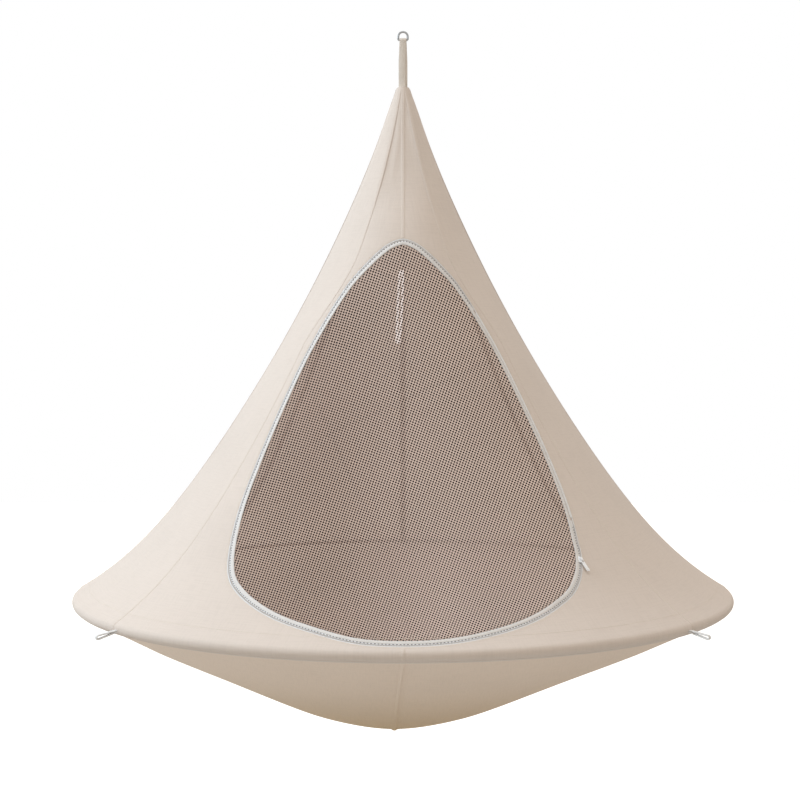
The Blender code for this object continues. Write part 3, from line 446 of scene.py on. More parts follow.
# %% [markdown]
# Finishes are node recipes. Canvas is a plain weave: threads cross over and under, so the height of the
# surface is a product of two waves, one for each set of threads. Slubs are thicker stretches of thread,
# drawn by noise that is stretched along the weft. The pattern reads the cut cloth's own layout, so it
# follows every fold.
# %% helper for finishes
class Finish:
    """A material under construction: new nodes are wired as they are added."""

    def __init__(self, name, colour, roughness, metallic=0.0, sheen=0.0, specular=0.5, glow=0.0):
        self.material = bpy.data.materials.new(name)
        self.material.use_nodes = True
        self.material.diffuse_color = (*colour, 1.0)
        self.tree = self.material.node_tree
        self.shader = self.tree.nodes["Principled BSDF"]
        self.set("Base Color", (*colour, 1.0))
        self.set("Roughness", roughness)
        self.set("Metallic", metallic)
        self.set("Specular IOR Level", specular)
        self.set("Sheen Weight", sheen)
        self.set("Sheen Roughness", 0.6)
        if glow:
            self.set("Emission Color", (*colour, 1.0))
            self.set("Emission Strength", glow)

    def set(self, socket, value):
        self.shader.inputs[socket].default_value = value

    def node(self, kind, wires=(), **settings):
        made = self.tree.nodes.new("ShaderNode" + kind)
        for key, value in settings.items():
            setattr(made, key, value)
        for socket, source in dict(wires).items():
            if isinstance(source, bpy.types.NodeSocket):
                self.tree.links.new(source, made.inputs[socket])
            else:
                made.inputs[socket].default_value = source
        return made

    def math(self, operation, first, second=0.0):
        return self.node("Math", {0: first, 1: second}, operation=operation).outputs[0]

    def cut(self):
        """The piece's layout in the flat cloth, in metres."""
        return self.node("UVMap", uv_map="cut").outputs[0]

    def objects(self):
        return self.node("TexCoord").outputs["Object"]

    def scaled(self, source, sizes):
        return self.node("Mapping", {"Vector": source, "Scale": sizes}).outputs[0]

    def noise(self, source, scale, detail=3.0, roughness=0.5):
        wires = {"Vector": source, "Scale": scale, "Detail": detail, "Roughness": roughness}
        return self.node("TexNoise", wires).outputs[0]

    def ramp(self, source, stops):
        made = self.node("ValToRGB", {0: source})
        line = made.color_ramp.elements
        while len(line) < len(stops):
            line.new(0.5)
        for element, (place, colour) in zip(line, stops):
            element.position = place
            element.color = (*colour, 1.0)
        return made.outputs[0]

    def mix(self, share, first, second, blend="MIX"):
        made = self.node("Mix", data_type="RGBA", blend_type=blend)
        for socket, source in ((0, share), (6, first), (7, second)):
            if isinstance(source, bpy.types.NodeSocket):
                self.tree.links.new(source, made.inputs[socket])
            elif socket == 0:
                made.inputs[0].default_value = source
            else:
                made.inputs[socket].default_value = (*source, 1.0)
        return made.outputs[2]

    def weave(self, source, pitch):
        """Height of a plain weave: the two sets of threads pass over each other in turn."""
        parts = self.node("SeparateXYZ", {0: source})
        turns = [self.math("MULTIPLY", parts.outputs[axis], 2 * pi / pitch) for axis in ("X", "Y")]
        return self.math("MULTIPLY", *[self.math("SINE", turn) for turn in turns])

    def step(self, source, low, high, start=0.0, end=1.0):
        """A soft step from start to end as the source goes from low to high."""
        wires = {0: source, 1: low, 2: high, 3: start, 4: end}
        return self.node("MapRange", wires, interpolation_type="SMOOTHSTEP").outputs[0]

    def bump(self, height, distance, strength=1.0, after=None):
        wires = {"Height": height, "Distance": distance, "Strength": strength}
        if after is not None:
            wires["Normal"] = after
        return self.node("Bump", wires).outputs[0]

    def wear(self, colour=None, roughness=None, normal=None, alpha=None):
        found = {"Base Color": colour, "Roughness": roughness, "Normal": normal, "Alpha": alpha}
        for socket, source in found.items():
            if source is not None:
                self.tree.links.new(source, self.shader.inputs[socket])
        return self.material


def shade(colour, factor):
    return tuple(part * factor for part in colour)


# %% canvas outside and inside
CANVAS_COLOUR = (0.680, 0.600, 0.545)
# The bowl is the same canvas drawn lighter and warmer: painted light, for warm light thrown up from the
# floor.
BOWL_WARM_LIT_COLOUR = (0.800, 0.670, 0.565)
# Painted shade: the colour the bowl darkens to at its bottom.
BOWL_SHADED_BOTTOM_COLOUR = (0.520, 0.370, 0.205)
# The inner face is the same canvas, drawn darker: painted shade for the shaded inside of the tent.
SHADED_LINING_COLOUR = (0.545, 0.490, 0.440)
PACKING_CREASES = (
    ((0.0, 0.4, -0.855), (-0.425, 0.0, 0.905)),
    ((0.0, 0.4, -0.560), (0.330, 0.0, 0.944)),
    ((-0.20, 0.4, -0.9), (0.93, 0.0, 0.36)),
)


def crease_lines(made, source, width):
    """Lines where flat planes cross the cloth: the sharp creases that packing leaves."""
    total = None
    for spot, direction in PACKING_CREASES:
        from_spot = made.node("VectorMath", {0: source, 1: spot}, operation="SUBTRACT").outputs[0]
        away = made.node("VectorMath", {0: from_spot, 1: direction}, operation="DOT_PRODUCT")
        line = made.step(made.math("ABSOLUTE", away.outputs["Value"]), 0.0, width, 1.0, 0.0)
        total = line if total is None else made.math("MAXIMUM", total, line)
    return total


def canvas_finish(name, colour, sheen, crease=0.0, shaded_bottom_colour=None, glow=0.0):
    # Painted light: a finish given a glow gives a little light of its own, for the daylight that comes
    # through the cloth to its inner face.
    made = Finish(name, colour, 0.86, sheen=sheen, specular=0.25, glow=glow)
    cut = made.cut()
    place = made.objects()
    slubs = made.noise(made.scaled(cut, (260.0, 22.0, 1.0)), 1.0, 2.0)
    cross_slubs = made.noise(made.scaled(cut, (20.0, 300.0, 1.0)), 1.0, 2.0)
    threads = made.math("ADD", slubs, cross_slubs)
    cloud = made.noise(place, 5.0, 2.0)
    body = made.ramp(cloud, ((0.30, shade(colour, 0.965)), (0.50, colour), (0.72, shade(colour, 1.02))))
    streak = made.ramp(threads, ((0.70, shade(colour, 0.93)), (1.0, colour), (1.30, shade(colour, 1.05))))
    body = made.mix(0.35, body, streak)
    if shaded_bottom_colour:
        # Painted shade: towards its bottom the bowl is drawn darker and browner.
        height = made.node("SeparateXYZ", {0: place}).outputs["Z"]
        wires = {0: height, 1: -1.32, 2: -1.58, 3: 0.0, 4: 1.0}
        bottom_shade = made.math("POWER", made.node("MapRange", wires).outputs[0], 1.6)
        tint = tuple(low / high for low, high in zip(shaded_bottom_colour, colour))
        body = made.mix(1.0, body, made.mix(bottom_shade, (1.0, 1.0, 1.0), tint), "MULTIPLY")
    weave = made.weave(cut, 0.0022)
    relief = made.bump(weave, 0.00016, 0.55)
    relief = made.bump(threads, 0.0007, 0.35, relief)
    if crease:
        lines = crease_lines(made, place, 0.0045)
        # Painted shade: the packing creases are drawn darker, for the shade in their folds.
        body = made.mix(made.math("MULTIPLY", lines, 0.90), body, shade(colour, 0.45))
        relief = made.bump(lines, 0.0030, crease, relief)
    rough = made.math("ADD", made.math("MULTIPLY", cloud, 0.10), 0.82)
    return made.wear(colour=body, roughness=rough, normal=relief)


canvas = canvas_finish("canvas", CANVAS_COLOUR, 0.08)
# The lining is a darker copy of the canvas, painted shade, and it glows a little, painted light.
canvas_lining = canvas_finish("canvas_lining", SHADED_LINING_COLOUR, 0.0, crease=0.6, glow=0.37)
bowl_canvas = canvas_finish("bowl_canvas", BOWL_WARM_LIT_COLOUR, 0.08, shaded_bottom_colour=BOWL_SHADED_BOTTOM_COLOUR)
# The sleeve's cloth likewise: its darker colour is painted shade and its glow is painted light.
sleeve_canvas = canvas_finish("sleeve_canvas", (0.555, 0.500, 0.450), 0.0, glow=0.36)


# %% [markdown]
# Tape, webbing and strap are woven too, but ribbed: the weft is packed so close that it shows as fine
# bars across the tape. The thread is a little glossier than the cloth it sews.
# %% tapes and thread
def tape_finish(name, colour, rib, roughness=0.8, depth=0.00022, glow=0.0):
    made = Finish(name, colour, roughness, sheen=0.1, specular=0.3, glow=glow)
    parts = made.node("SeparateXYZ", {0: made.cut()})
    bars = made.math("SINE", made.math("MULTIPLY", parts.outputs["Y"], 2 * pi / rib))
    cords = made.math("SINE", made.math("MULTIPLY", parts.outputs["X"], 2 * pi / (rib * 1.4)))
    height = made.math("ADD", bars, made.math("MULTIPLY", cords, 0.6))
    cloud = made.noise(made.objects(), 60.0, 3.0)
    body = made.ramp(cloud, ((0.3, shade(colour, 0.93)), (0.55, colour), (0.75, shade(colour, 1.03))))
    # Painted shade: the hollows between the ribs are drawn darker.
    rib_shade = made.ramp(height, ((0.0, shade(colour, 0.86)), (0.7, colour)))
    body = made.mix(0.4, body, rib_shade)
    return made.wear(colour=body, normal=made.bump(height, depth, 0.6))


def thread_finish(name, colour):
    made = Finish(name, colour, 0.55, sheen=0.1)
    twist = made.node("TexWave", {"Vector": made.objects(), "Scale": 420.0, "Distortion": 1.0}).outputs[1]
    cloud = made.noise(made.objects(), 40.0)
    body = made.ramp(cloud, ((0.35, shade(colour, 0.88)), (0.65, shade(colour, 1.04))))
    return made.wear(colour=body, normal=made.bump(twist, 0.0001, 0.5))


white_tape = tape_finish("white_tape", (0.84, 0.84, 0.85), 0.0012)
binding_tape = tape_finish("binding_tape", (0.80, 0.775, 0.76), 0.0012)
# The inside tapes are drawn darker than the lining, painted shade along the seams, and glow faintly, painted
# light.
shaded_inside_tape = tape_finish("shaded_inside_tape", (0.330, 0.280, 0.245), 0.0016, glow=0.05)
# Painted shade: the tunnel's tape is near black, for the line of shade above the sleeve.
tunnel_shade_tape = tape_finish("tunnel_shade_tape", (0.130, 0.095, 0.080), 0.0016)
strap_webbing = tape_finish("strap_webbing", (0.83, 0.765, 0.700), 0.0018, depth=0.0004)
# Painted light: the lantern tape glows, so that it shows white through the net.
glowing_lantern_tape = tape_finish("glowing_lantern_tape", (0.90, 0.90, 0.92), 0.0012, glow=1.1)
seam_thread = thread_finish("seam_thread", (0.74, 0.66, 0.56))
white_thread = thread_finish("white_thread", (0.72, 0.72, 0.74))
dark_thread = thread_finish("dark_thread", (0.11, 0.10, 0.11))

# %% [markdown]
# The insect net is too fine to model thread by thread, so its holes are drawn in the finish. Two sets of
# fine threads cross at a slant. In the pattern of the holes sit small dark dots, opaque: painted shade, for
# the shaded inside of the tent seen through the holes. Between the dots the net is a thin veil through
# which the inside of the tent shows. The pattern reads the net's own layout, whose unit is the metre.
# %% net
NET_PITCH = (0.00578, 0.00564)
NET_SLANT = (radians(65.0), radians(-16.0))
NET_VEIL = 0.42


def net_finish():
    thread = (0.700, 0.540, 0.460)
    hole_shade = (0.012, 0.008, 0.010)
    made = Finish("net", thread, 0.85, specular=0.05)
    parts = made.node("SeparateXYZ", {0: made.cut()})
    waves = []
    for pitch, slant in zip(NET_PITCH, NET_SLANT):
        run = made.math("MULTIPLY", parts.outputs["X"], cos(slant) * 2 * pi / pitch)
        rise = made.math("MULTIPLY", parts.outputs["Y"], sin(slant) * 2 * pi / pitch)
        waves.append(made.math("COSINE", made.math("ADD", run, rise)))
    lattice = made.math("ADD", waves[0], waves[1])
    shaded_holes = made.step(lattice, 0.10, 0.50)
    cloud = made.noise(made.objects(), 3.0, 2.0)
    pale = made.ramp(cloud, ((0.35, shade(thread, 0.95)), (0.65, shade(thread, 1.05))))
    # Painted light: the net is drawn paler towards the right, where more of the daylight comes through it.
    across = made.node("SeparateXYZ", {0: made.objects()}).outputs["X"]
    painted_daylight = made.mix(made.step(across, -0.20, 0.14), (0.92, 0.88, 0.86), (1.34, 1.42, 1.50))
    pale = made.mix(1.0, pale, painted_daylight, "MULTIPLY")
    # Painted shade: the dots are near black and opaque, for the shaded inside seen through the holes.
    body = made.mix(shaded_holes, pale, hole_shade)
    alpha = made.math("ADD", made.math("MULTIPLY", shaded_holes, 1.0 - NET_VEIL), NET_VEIL)
    return made.wear(colour=body, alpha=alpha, normal=made.bump(lattice, 0.0004, 0.5))


net = net_finish()


# %% [markdown]
# The zip's teeth are light grey nylon, its slider and pull are metal under white paint, the ring's tubes
# are drawn aluminium and the hanging ring is steel wire. Small scratches and a change of gloss keep them
# from looking new out of a drawing.
# %% plastic and metals
def metal_finish(name, colour, roughness, stretch, metallic=1.0):
    made = Finish(name, colour, roughness, metallic)
    place = made.objects()
    scratches = made.noise(made.scaled(place, stretch), 1.0, 4.0, 0.6)
    cloud = made.noise(place, 90.0, 2.0)
    body = made.ramp(cloud, ((0.3, shade(colour, 0.85)), (0.7, colour)))
    rough = made.math("ADD", made.math("MULTIPLY", scratches, 0.22), roughness - 0.11)
    return made.wear(colour=body, roughness=rough, normal=made.bump(scratches, 0.00006, 0.35))


zip_nylon = metal_finish("zip_nylon", (0.62, 0.62, 0.63), 0.42, (900, 900, 900), 0.0)
zip_paint = metal_finish("zip_paint", (0.92, 0.93, 0.95), 0.34, (700, 700, 700), 0.0)
drawn_tube = metal_finish("drawn_tube", (0.80, 0.81, 0.82), 0.34, (30, 30, 900))
ring_steel = metal_finish("ring_steel", (0.34, 0.335, 0.33), 0.42, (500, 500, 500))

for number in range(1, 7):
    tube = frame["nodes"][f"ring_tube_{number}"]
    for place in tube.material_slots:
        place.material = drawn_tube

# %% [markdown]
# The door's outline rules the front of the tent. It lies on the canopy, wide at the foot and narrow at
# the top, with an even arc at the lower right where the slider runs. The zip is the line itself;
# everything else at the door, the white binding, the rows of teeth and the edge of the canvas, is a
# distance in or out from it.
# %% line of the zip
SCREEN_HALF_WIDTH = 0.345
SCREEN_BOTTOM = 0.024
SCREEN_TOP = 0.796
SCREEN_SHARES = (
    (0.00, 1.000), (0.27, 0.900), (0.52, 0.731), (0.71, 0.560), (0.87, 0.393), (0.97, 0.255),
    (0.995, 0.140), (0.92, 0.085), (0.69, 0.038), (0.34, 0.008),
)
ARC_CENTRE = Vector((0.17500, -0.51671, -1.07923))
ARC_AXIS = Vector((-0.42654, 0.57961, -0.69435))
ZIP_FROM_SCREEN = 0.0141


def front_point(x, height):
    radius = canopy_radius(height)
    return turned(asin(x / radius), radius, height)


def smooth_closed(keys, steps=50):
    """A closed curve through the key points, which runs past each as its two neighbours lie."""
    dense = []
    total = len(keys)
    for k in range(total):
        before, start, end, after = (keys[(k + j) % total] for j in (-1, 0, 1, 2))
        for t in np.arange(steps) / steps:
            curve = 2 * start + (end - before) * t
            curve = curve + (2 * before - 5 * start + 4 * end - after) * t**2
            curve = curve + (3 * start - before - 3 * end + after) * t**3
            dense.append(curve / 2)
    return dense


def even_lengths(points, count):
    ring = np.array([*points, points[0]])
    run = run_along(ring)
    return [Vector(spot) for spot in read_at(np.linspace(0.0, run[-1], count, endpoint=False), run, ring)]


def side_and_normal(points, k):
    """The direction out from the door along the cloth, and the direction off the cloth."""
    point = points[k]
    normal = canopy_normal(atan2(point.x, -point.y), point.z + HANG_TO_RIM)
    along = (points[(k + 1) % len(points)] - points[k - 1]).normalized()
    return normal.cross(along).normalized(), normal


def shifted(points, out):
    """The line moved along the cloth: out is a distance, or a rule that gives it for a point."""
    moved = []
    for k, point in enumerate(points):
        target = point + side_and_normal(points, k)[0] * (out(point) if callable(out) else out)
        moved.append(front_point(target.x, target.z + HANG_TO_RIM))
    return moved


tall = SCREEN_TOP - SCREEN_BOTTOM
right_keys = [np.array([x * SCREEN_HALF_WIDTH, SCREEN_BOTTOM + z * tall]) for x, z in SCREEN_SHARES]
left_keys = [np.array([-x, height]) for x, height in reversed(right_keys[1:])]
keys = right_keys + [np.array([0.0, SCREEN_BOTTOM])] + left_keys
screen_line = even_lengths([front_point(x, height) for x, height in smooth_closed(keys)], 90)
coarse_zip = shifted(screen_line, ZIP_FROM_SCREEN)

# %% arc for the slider
ARC_TOP_HEIGHT = 0.158
ARC_END_X = 0.315


def nearest(points, measure):
    return min(range(len(points)), key=lambda k: measure(points[k]))


arc_first = nearest(coarse_zip[:45], lambda p: abs(p.z + HANG_TO_RIM - ARC_TOP_HEIGHT))
arc_last = nearest(
    coarse_zip[:45],
    lambda p: abs(p.x - ARC_END_X) + max(p.z - coarse_zip[arc_first].z, 0.0),
)
spoke = coarse_zip[arc_first] - ARC_CENTRE
arc_sweep = spoke.angle(coarse_zip[arc_last] - ARC_CENTRE)
turn_way = 1.0 if ARC_AXIS.dot(spoke.cross(coarse_zip[arc_last] - ARC_CENTRE)) > 0 else -1.0
arc = []
for k in range(19):
    turn = Matrix.Rotation(turn_way * arc_sweep * k / 18, 3, ARC_AXIS)
    arc.append(ARC_CENTRE + turn @ spoke)
zip_points = coarse_zip[:arc_first] + arc + coarse_zip[arc_last + 1 :]
print("zip line:", len(zip_points), "points, arc radius", round(spoke.length, 4))


# %% the zip line, four times finer
def refined(points, count):
    """A smooth closed curve through the points, cut into even lengths."""
    return even_lengths(smooth_closed([np.array(p) for p in points], 6), count)


def drawn_tight(point):
    """Sewing draws the zip in a little round the top of the door and round its lower left corner."""
    height = point.z + HANG_TO_RIM
    top = ease((height - 0.70) / 0.10)
    corner = ease((-point.x - 0.06) / 0.14) * (1.0 - ease((height - 0.28) / 0.27))
    return -DRAWN_TIGHT * max(top, corner)


DRAWN_TIGHT = 0.0075
DOOR_STEPS = 360
door_line = refined(shifted(refined(zip_points, DOOR_STEPS), drawn_tight), DOOR_STEPS)
arc_rise = ARC_AXIS * spoke.dot(ARC_AXIS)
arc_start = spoke - arc_rise
# Where the slider runs, the line is set exactly on its arc.
for k in range(DOOR_STEPS):
    reach = door_line[k] - ARC_CENTRE
    flat = reach - ARC_AXIS * reach.dot(ARC_AXIS)
    angle = atan2(turn_way * ARC_AXIS.dot(arc_start.cross(flat)), arc_start.dot(flat))
    if 0.0 < angle < arc_sweep and abs(flat.length - arc_start.length) < 0.004:
        door_line[k] = ARC_CENTRE + arc_rise + flat.normalized() * arc_start.length
door_sides, door_ups = zip(*[side_and_normal(door_line, k) for k in range(DOOR_STEPS)])


def door_point(k, out, rise=0.0):
    k = k % DOOR_STEPS
    return door_line[k] + door_sides[k] * out + door_ups[k] * rise


def door_stations(first, last):
    steps = [k % DOOR_STEPS for k in range(first, last)]
    return [(door_line[k], door_sides[k], door_ups[k]) for k in steps]


HINGE_TOP = 0.640
HINGE_FOOT = 0.215
right_steps = [k for k in range(DOOR_STEPS // 2) if door_line[k].x > 0]
hinge_first = min(right_steps, key=lambda k: abs(door_line[k].z + HANG_TO_RIM - HINGE_TOP))
hinge_last = min(right_steps, key=lambda k: abs(door_line[k].z + HANG_TO_RIM - HINGE_FOOT))
print("sewn side of the door: steps", hinge_first, "to", hinge_last, "of", DOOR_STEPS)

# %% [markdown]
# The canopy is one sheet. The real one is eight gores sewn into a tube of cloth that narrows to the neck
# and, below, wraps right round the ring's sleeve to meet the bowl. A single grid, dense enough to carry
# the folds, follows that profile, so no step shows at a seam. Its thickness comes last, with the lining's
# finish inside.
# %% canopy sheet
GORE_COLUMNS = 22
CANOPY_ROWS = 104
WRAP_ROWS = 9
WRAP_END = radians(-76.0)
GORE_NODES = [f"gore_{side}" for side in ("front_left", "front_right", "left_front", "right_front")]
GORE_NODES += [f"gore_{side}" for side in ("left_rear", "right_rear", "rear_left", "rear_right")]


def row_place(row):
    """Height for a row of the cone, or the angle round the ring for a row of the wrap."""
    if row >= WRAP_ROWS:
        share = (row - WRAP_ROWS) / CANOPY_ROWS
        return FOOT_HEIGHT + (NECK_HEIGHT - FOOT_HEIGHT) * share**1.25, None
    share = 1.0 - row / WRAP_ROWS
    return FOOT_HEIGHT, LANDING + (WRAP_END - LANDING) * share


def column_azimuth(column, height):
    number = min(column // GORE_COLUMNS, 7)
    left = seam_azimuth(number, height)
    right = seam_azimuth(number + 1, height)
    across = column / GORE_COLUMNS - number
    # More columns near the seams, where the cloth bends most.
    across -= 0.11 * sin(2 * pi * across) / pi
    return left + (right - left) * across


slope_run = [0.0]
for row in range(WRAP_ROWS + CANOPY_ROWS):
    low, angle = row_place(row)
    high, _ = row_place(row + 1)
    step = CLOTH_FROM_RING * (LANDING - WRAP_END) / WRAP_ROWS
    if angle is None:
        step = hypot(high - low, canopy_radius(high) - canopy_radius(low))
    slope_run.append(slope_run[-1] + step)
print("canopy slope length", round(slope_run[-1], 3), "m")


def canopy_place(column, row):
    height, angle = row_place(row)
    azimuth = column_azimuth(column, height)
    if angle is None:
        return canvas_point(azimuth, height)
    return rim_point(azimuth, angle)


def canopy_cut(column, row, face_column):
    """Each gore has its own middle line in the flat cloth, so the weave turns at every seam."""
    height, _ = row_place(row)
    number = min(face_column // GORE_COLUMNS, 7)
    middle = (seam_azimuth(number, height) + seam_azimuth(number + 1, height)) / 2
    across = (column_azimuth(column, height) - middle) * canopy_radius(height)
    return across, slope_run[row]


canopy_build = lay_grid(8 * GORE_COLUMNS, WRAP_ROWS + CANOPY_ROWS, canopy_place, canopy_cut, close=True)
canopy = cloth("canopy", canopy_build, canvas, "canvas", CANVAS, GORE_NODES, lining=canvas_lining)
print("canopy:", len(canopy.data.polygons), "faces")

# %% [markdown]
# The doorway is cut after the cloth has its thickness, as scissors would: a cutter whose wall crosses the
# cloth squarely along the zip is taken away with an exact Boolean, which keeps the layout of the cut
# cloth.
# %% doorway
DOOR_EDGE_OUT = 0.0038
CUTTER_REACH = 0.006


def cut_doorway(piece):
    near = [door_point(k, DOOR_EDGE_OUT, CUTTER_REACH) for k in range(0, DOOR_STEPS, 2)]
    deep = [door_point(k, DOOR_EDGE_OUT, -CUTTER_REACH) for k in range(0, DOOR_STEPS, 2)]
    before = [Vector((p.x, -0.80, p.z)) for p in near]
    behind = [Vector((p.x, -0.03, p.z)) for p in deep]
    loops = [before, near, deep, behind]
    count = len(near)
    build = lay_grid(count, 3, lambda i, j: loops[j][i % count], lambda i, j, _: (0.0, 0.0), close=True)
    bmesh.ops.holes_fill(build, edges=[e for e in build.edges if e.is_boundary], sides=0)
    bmesh.ops.triangulate(build, faces=[face for face in build.faces if len(face.verts) > 4])
    outwards(build)
    mesh = bpy.data.meshes.new("door_cutter")
    build.to_mesh(mesh)
    build.free()
    tool = show(bpy.data.objects.new("door_cutter", mesh))
    cut = piece.modifiers.new("doorway", "BOOLEAN")
    cut.operation = "DIFFERENCE"
    cut.object = tool
    cut.solver = "EXACT"
    apply_all(piece)
    bpy.data.objects.remove(tool)


cut_doorway(canopy)
canopy.data.set_sharp_from_angle(angle=radians(60.0))
print("canopy with its doorway:", len(canopy.data.polygons), "faces")


# %% [markdown]
# Each seam is felled: one edge is folded over the other and sewn down with two rows of stitches, which
# leaves a flat raised strip about eight millimetres wide. It is swept along the seam from the rim to the
# neck.
# %% felled seams of the canopy
FELL_SECTION = (
    (-0.0042, -0.0004), (-0.0034, 0.0004), (-0.0012, 0.0007), (0.0012, 0.0007),
    (0.0034, 0.0004), (0.0042, -0.0004),
)
RIM_TURNS = [radians(a) for a in (-72, -52, -32, -12, 8, 28, 45)]
edge_heights = [door_point(k, DOOR_EDGE_OUT).z + HANG_TO_RIM for k in range(DOOR_STEPS)]
door_top_height = max(edge_heights)
door_foot_height = min(edge_heights)


def seam_line(number, low, high, aside=0.0, rise=0.0, steps=90):
    """Points and normals up a seam, moved aside along the cloth."""
    points = []
    ups = []
    if low is None:
        for angle in RIM_TURNS:
            azimuth = seam_azimuth(number, FOOT_HEIGHT) + aside / FOOT_RADIUS
            points.append(rim_point(azimuth, angle, rise))
            ups.append(turned(azimuth, cos(angle), sin(angle) + HANG_TO_RIM).normalized())
        low = FOOT_HEIGHT + 0.0004
    for k in range(steps + 1):
        height = low + (high - low) * (k / steps) ** 1.2
        radius = canopy_radius(height)
        offset = copysign(min(abs(aside) / radius, 0.16), aside) if aside else 0.0
        azimuth = seam_azimuth(number, height) + offset
        points.append(canvas_point(azimuth, height, rise))
        ups.append(cloth_normal(azimuth, height))
    return points, ups


FELL_ROWS = (-0.0027, 0.0027)
FELL_STITCH_RISE = 0.0005
seam_strips = []
fell_rows = []
for number, name in enumerate(SEAM_NAMES):
    stretches = [(None, NECK_HEIGHT - 0.004)]
    if name == "front":
        stretches = [(None, door_foot_height - 0.0015), (door_top_height + 0.0015, NECK_HEIGHT - 0.004)]
    for low, high in stretches:
        short = high < 0.1
        steps = 6 if short else 90
        stations = line_frames(*seam_line(number, low, high, steps=steps))
        strip_name = f"felled_seam_{name}" + ("_low" if short else "")
        seam_strips.append(swept(strip_name, stations, FELL_SECTION, canvas, "tent", "canvas", 35.0))
        for aside in FELL_ROWS:
            fell_rows.append(seam_line(number, low, high - 0.03, aside, FELL_STITCH_RISE, steps))
canopy_stitches = stitched("canopy_stitches", fell_rows, seam_thread)
print("felled seams:", len(seam_strips), "strips,", len(canopy_stitches.data.polygons) // 20, "stitches")

# %% [markdown]
# The bowl is the floor of the tent. Four quarters of canvas are sewn into a shallow bag that hangs from
# the ring and sinks to a soft point. The same profile as the solid is turned round with spin. Under its
# own weight the cloth pulls into shallow scallops beneath the rim, which grow and die out within two
# hands' breadth.
# %% bowl
BOWL_ROWS = 44
BOWL_STEPS = 192


def bowl_ripple(azimuth, radius):
    """Soft folds below the rim, upwards into the tent, so they never leave the solid's space."""
    from_edge = (BOWL_EDGE_RADIUS - radius) / 0.22
    if from_edge > 1.0:
        return 0.0
    fade = sin(pi * clamp(from_edge) ** 0.6) ** 2
    wave = 0.5 + 0.5 * sin(17 * azimuth + 1.1 * sin(3 * azimuth + 0.7))
    slow = 0.5 + 0.5 * sin(5 * azimuth + 2.0)
    return 0.0035 * fade * wave * slow


def bowl_fold(azimuth, radius):
    """Each seam of the bowl stands out as a soft fold, as doubled cloth does in a bag."""
    aside = radius * sin((azimuth + pi / 4) % (pi / 2) - pi / 4)
    fade = ease(radius / 0.10) * ease((BOWL_EDGE_RADIUS - radius) / 0.05)
    return 0.0026 * fade * exp(-((aside / 0.0065) ** 2))


bowl_build = bmesh.new()
profile = []
for k in range(BOWL_ROWS + 1):
    radius = BOWL_EDGE_RADIUS * (1.0 - (1.0 - k / BOWL_ROWS) ** 1.30)
    profile.append(bowl_build.verts.new((0.0, -radius, bowl_height(radius) - HANG_TO_RIM)))
edges = [bowl_build.edges.new(pair) for pair in zip(profile, profile[1:])]
bmesh.ops.spin(
    bowl_build,
    geom=profile + edges,
    cent=(0, 0, 0),
    axis=(0, 0, 1),
    angle=2 * pi,
    steps=BOWL_STEPS,
    use_merge=True,
)
bmesh.ops.remove_doubles(bowl_build, verts=bowl_build.verts, dist=0.00003)
for point in bowl_build.verts:
    radius = hypot(point.co.x, point.co.y)
    azimuth = atan2(point.co.x, -point.co.y)
    # The steps crowd together at the four seams, where the fold needs them.
    azimuth -= 0.78 * sin(4 * azimuth) / 4
    point.co = bowl_point(azimuth, radius, bowl_fold(azimuth, radius) - bowl_ripple(azimuth, radius))
outwards(bowl_build)
if min(bowl_build.faces, key=lambda f: f.calc_center_median().z).normal.z > 0:
    bmesh.ops.reverse_faces(bowl_build, faces=bowl_build.faces)
bowl_layer = bowl_build.loops.layers.uv.new("cut")
for face in bowl_build.faces:
    for corner in face.loops:
        spot = corner.vert.co
        radius = hypot(spot.x, spot.y)
        stretch = 1.0 + 0.09 * (radius / BOWL_EDGE_RADIUS) ** 2
        corner[bowl_layer].uv = (spot.x * stretch, spot.y * stretch)
quarters = [f"floor_{side}" for side in ("front_left", "front_right", "rear_left", "rear_right")]
bowl = cloth("bowl", bowl_build, bowl_canvas, "canvas", CANVAS, quarters, lining=canvas_lining)
print("bowl:", len(bowl.data.polygons), "faces")


# %% seams of the bowl and the rim
def bowl_seam(azimuth, aside=0.0, rise=0.0, steps=56):
    points = []
    ups = []
    for k in range(steps + 1):
        radius = 0.004 + (BOWL_EDGE_RADIUS - 0.006) * k / steps
        turn = azimuth + atan2(aside, radius)
        point = bowl_point(turn, radius, rise + bowl_fold(turn, radius) - bowl_ripple(turn, radius))
        ahead = bowl_point(turn, radius + 0.002) - bowl_point(turn, radius)
        sideways = Vector((cos(turn), sin(turn), 0.0))
        points.append(point)
        ups.append(ahead.cross(sideways).normalized())
        if ups[-1].z > 0:
            ups[-1] = -ups[-1]
    return points, ups


bowl_rows = []
for name, degrees in (("front", 0), ("right", 90), ("rear", 180), ("left", -90)):
    stations = line_frames(*bowl_seam(radians(degrees)))
    strip_name = f"felled_seam_bowl_{name}"
    seam_strips.append(swept(strip_name, stations, FELL_SECTION, bowl_canvas, "tent", "canvas", 35.0))
    for aside in FELL_ROWS:
        bowl_rows.append(bowl_seam(radians(degrees), aside, FELL_STITCH_RISE))
bowl_stitches = stitched("bowl_stitches", bowl_rows, seam_thread)


# %% [markdown]
# Where the canopy has gone round the ring it is turned under and lapped over the edge of the bowl. From
# the front that lap is the soft line below the rim. One row of stitches holds it, and a second row, a
# thumb's width up the canopy, closes the tunnel that the ring lies in.
# %% lap under the rim, and the rows that close the tunnel
RIM_STEPS = 240


def ring_of(place):
    return [place(-pi + 2 * pi * k / RIM_STEPS) for k in range(RIM_STEPS)]


def lap_point(azimuth, rise):
    """A little in from the ring, on the underside of the bowl."""
    return bowl_point(azimuth, BOWL_EDGE_RADIUS - 0.0045, rise)


